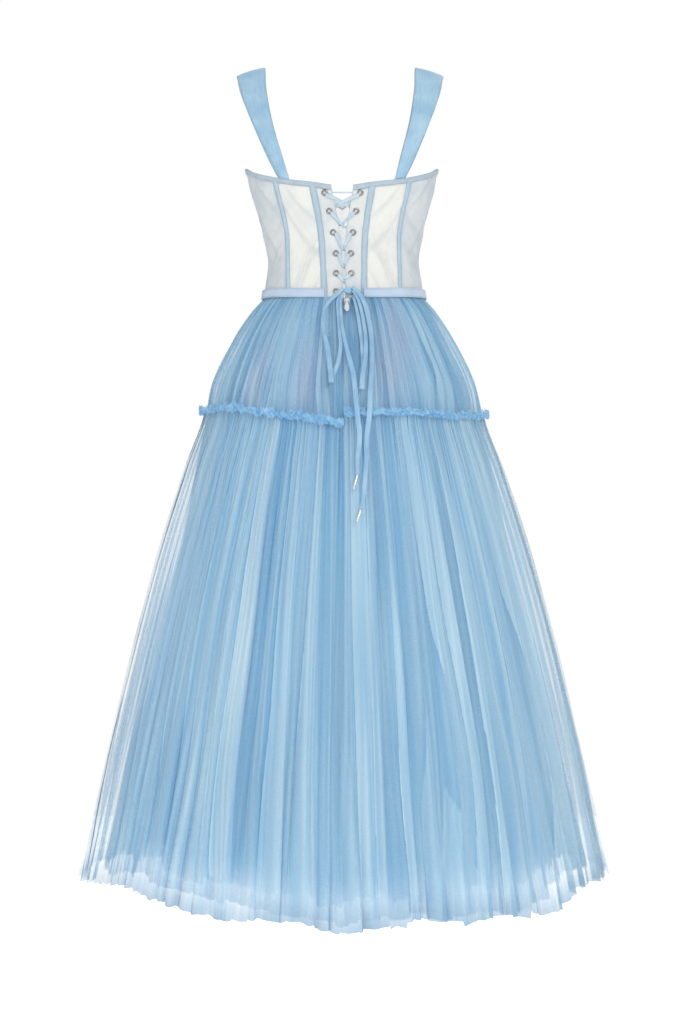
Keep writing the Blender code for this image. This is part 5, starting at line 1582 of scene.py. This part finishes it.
def make_knot():
    """The tied ribbon: a small wrapped ball with the creases of its turns."""
    x, height, lift = KNOT_PLACE
    middle = back_place(x, height, lift)
    polar = np.linspace(0.02, math.pi - 0.02, 30)[:, None]
    around = np.linspace(0, 2 * math.pi, 48, endpoint=False)[None, :]
    side = np.cos(polar) + 0 * around
    up = np.sin(polar) * np.sin(around)
    out = np.sin(polar) * np.cos(around)
    wraps = 0.07 * np.sin(9 * up + 3.5 * side) + 0.05 * np.sin(14 * side - 4 * up)
    waist = 0.16 * np.exp(-((side - 0.25 * up) / 0.13) ** 2)
    crease = 1 + wraps - waist
    points = np.stack([
        middle.x + KNOT_RADII[0] * side * crease,
        middle.y - KNOT_RADII[1] * out * crease,
        middle.z + KNOT_RADII[2] * up * crease,
    ], axis=-1)
    uv = np.stack([side * 0.006, up * 0.005], axis=-1)
    made = grid_object("bow_knot_ribbon", points, uv, RIBBON, closed=True)
    made.data.flip_normals()
    place_on(made, "satin_ribbon", "bow_knot")


make_knot()


# The zip's slider and its pull

ZIP_X = 0.0040
ZIP_HEIGHT = 0.8575
ZIP_SLOPE = 38.0
ZIP_SINK = 0.0007
ZIP_CLEARANCE = 0.0004
SLIDER_BASE = 0.0018
PIN_RISE = 0.0042
PIN_DROP = 0.0030

tilt = Matrix.Rotation(math.radians(-ZIP_SLOPE), 4, "X")
seat = Matrix.Translation(bow_place(ZIP_X, ZIP_HEIGHT, -ZIP_SINK)) @ tilt
pin = Vector((0.0, -ZIP_CLEARANCE - SLIDER_BASE - PIN_RISE / 2, -PIN_DROP))
for node in ("zip_slider", "zip_pull_tab"):
    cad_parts[node].data.materials.clear()
    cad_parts[node].data.materials.append(SILVER)


def rounded_plate(name, rows, thickness, crown, matrix):
    """A rounded metal plate from rows of (distance up, half width, lift), domed by crown."""
    loop = np.linspace(0, 2 * math.pi, 24, endpoint=False)

    def place(a, up, half, lift):
        dome = crown * (half > 0.001) * max(0.0, math.sin(a))
        return matrix @ Vector((half * math.cos(a), -lift - (thickness / 2 + dome) * math.sin(a), up))

    points = np.array([[place(a, *row) for a in loop] for row in rows])
    uv = np.array([[(a * 0.002, up) for a in loop] for up, _, _ in rows])
    return grid_object(name, points, uv, SILVER, closed=True)


SLIDER_HALF_LENGTH = 0.0058
SLIDER_HALF_WIDTH = 0.0046
SLIDER_COVER = 0.0006  # how much thicker the slider's shell is than the solid's base
SLIDER_CROWN = 0.0007
PULL_TAB_THICKNESS = 0.0014
PULL_TAB_CROWN = 0.0003
# The pull tab's outline, narrow at its pin and wide near its end: distance down and half width.
PULL_TAB = (
    (0.0002, 0.0002), (0.0006, 0.0015), (0.0030, 0.0017), (0.0060, 0.0025), (0.0100, 0.0032),
    (0.0140, 0.0035), (0.0172, 0.0032), (0.0192, 0.0023), (0.0203, 0.0012), (0.0206, 0.0002),
)


def make_zip():
    """The slider, shut at the top of its run, and the pull tab that hangs from its pin."""
    body_lift = ZIP_CLEARANCE + SLIDER_BASE / 2
    rows = [
        (SLIDER_HALF_LENGTH * math.sin(a), max(0.0002, SLIDER_HALF_WIDTH * math.cos(a) ** 0.7), body_lift)
        for a in np.linspace(-1.5, 1.5, 18)
    ]
    body = rounded_plate("zip_slider_body", rows, SLIDER_BASE + SLIDER_COVER, SLIDER_CROWN, seat)
    place_on(body, "silvered_metal")
    rows = [(-down, half, 0.0) for down, half in PULL_TAB]
    hung = seat @ Matrix.Translation(pin)
    plate = rounded_plate("zip_pull_tab_plate", rows, PULL_TAB_THICKNESS, PULL_TAB_CROWN, hung)
    place_on(plate, "silvered_metal", body="pull_tab")


make_zip()


# Sewing

# Each lift is how far a line of stitches stands out of the cloth under it.
TAPE_STITCH_LIFT = 0.0010
TAPE_STITCH_SHARE = 0.86  # of the tape's half width
TAPE_STITCH_START = 0.880
TAPE_STITCH_STOP = 0.0085  # how far below the bodice's edge it ends
BINDING_STITCH_LIFT = 0.0023
BINDING_STITCH_INSET = 0.0013  # up from the binding's lower edge
WAISTBAND_STITCH_LIFT = 0.0041
WAISTBAND_STITCH_RISES = (0.0016, WAISTBAND_HEIGHT - 0.0018)


def make_stitches():
    """Lockstitch along both edges of the back's boned tapes, the lower edge of the back's top binding, and
    both edges of the waistband.
    """
    sizes = {"Stitch pitch": 0.0030, "Stitch length": 0.0011, "Thread radius": 0.00024}
    tree, given, out = node_tree("Stitches on lines", sizes)
    line = add(tree, "GeometryNodeMeshToCurve", {"Mesh": given.outputs["Geometry"]})
    spaced = add(tree, "GeometryNodeResampleCurve", {
        "Curve": line.outputs["Curve"], "Length": given.outputs["Stitch pitch"],
    }, mode="LENGTH")
    ball = add(tree, "GeometryNodeMeshUVSphere", {"Segments": 6, "Rings": 4, "Radius": 1.0})
    length = given.outputs["Stitch length"]
    radius = given.outputs["Thread radius"]
    stretch = add(tree, "ShaderNodeCombineXYZ", {"X": length, "Y": radius, "Z": radius})
    tangent = add(tree, "GeometryNodeInputTangent")
    turned = add(tree, "FunctionNodeAlignRotationToVector", {"Vector": tangent.outputs["Tangent"]}, axis="X")
    copies = add(tree, "GeometryNodeInstanceOnPoints", {
        "Points": spaced.outputs["Curve"], "Instance": ball.outputs["Mesh"],
        "Rotation": turned.outputs["Rotation"], "Scale": stretch.outputs["Vector"],
    })
    finish_tree(tree, out, copies.outputs["Instances"], THREAD)
    lines = []
    half = math.degrees(BONE_TAPE_WIDTH / 2 / BODICE[2].half_width) * TAPE_STITCH_SHARE
    for side in (1, -1):
        for column in ("bone_inner", "bone_outer"):
            seam = back_seam(column)
            top = height_on(BACK_TOP, (seam, seam), 0.0) - TAPE_STITCH_STOP
            for way in (-1, 1):
                lines.append([
                    on_bodice(seam(height) + way * half, height, TAPE_STITCH_LIFT, side)
                    for height in np.linspace(TAPE_STITCH_START, top, 40)
                ])
        seams = (back_seam("opening"), side_seam)
        row = []
        for step in range(61):
            height = height_on(BACK_TOP, seams, step / 60)
            turn = seams[0](height) * (1 - step / 60)
            low = height - BINDING_WIDTH + BINDING_STITCH_INSET
            row.append(on_bodice(turn, low, BINDING_STITCH_LIFT, side))
        lines.append(row)
        for up in WAISTBAND_STITCH_RISES:
            lines.append([
                on_bodice(turn, float(waist_seam(turn)) + up, WAISTBAND_STITCH_LIFT, side)
                for turn in np.linspace(WAISTBAND_END, 90.0, 160)
            ])
    points = [tuple(point) for row in lines for point in row]
    edges = []
    first = 0
    for row in lines:
        edges += [(first + step, first + step + 1) for step in range(len(row) - 1)]
        first += len(row)
    base = bpy.data.meshes.new("stitch lines")
    base.from_pydata(points, edges, [])
    place_on(baked("stitches", base, tree, sizes), "satin_ribbon")


make_stitches()
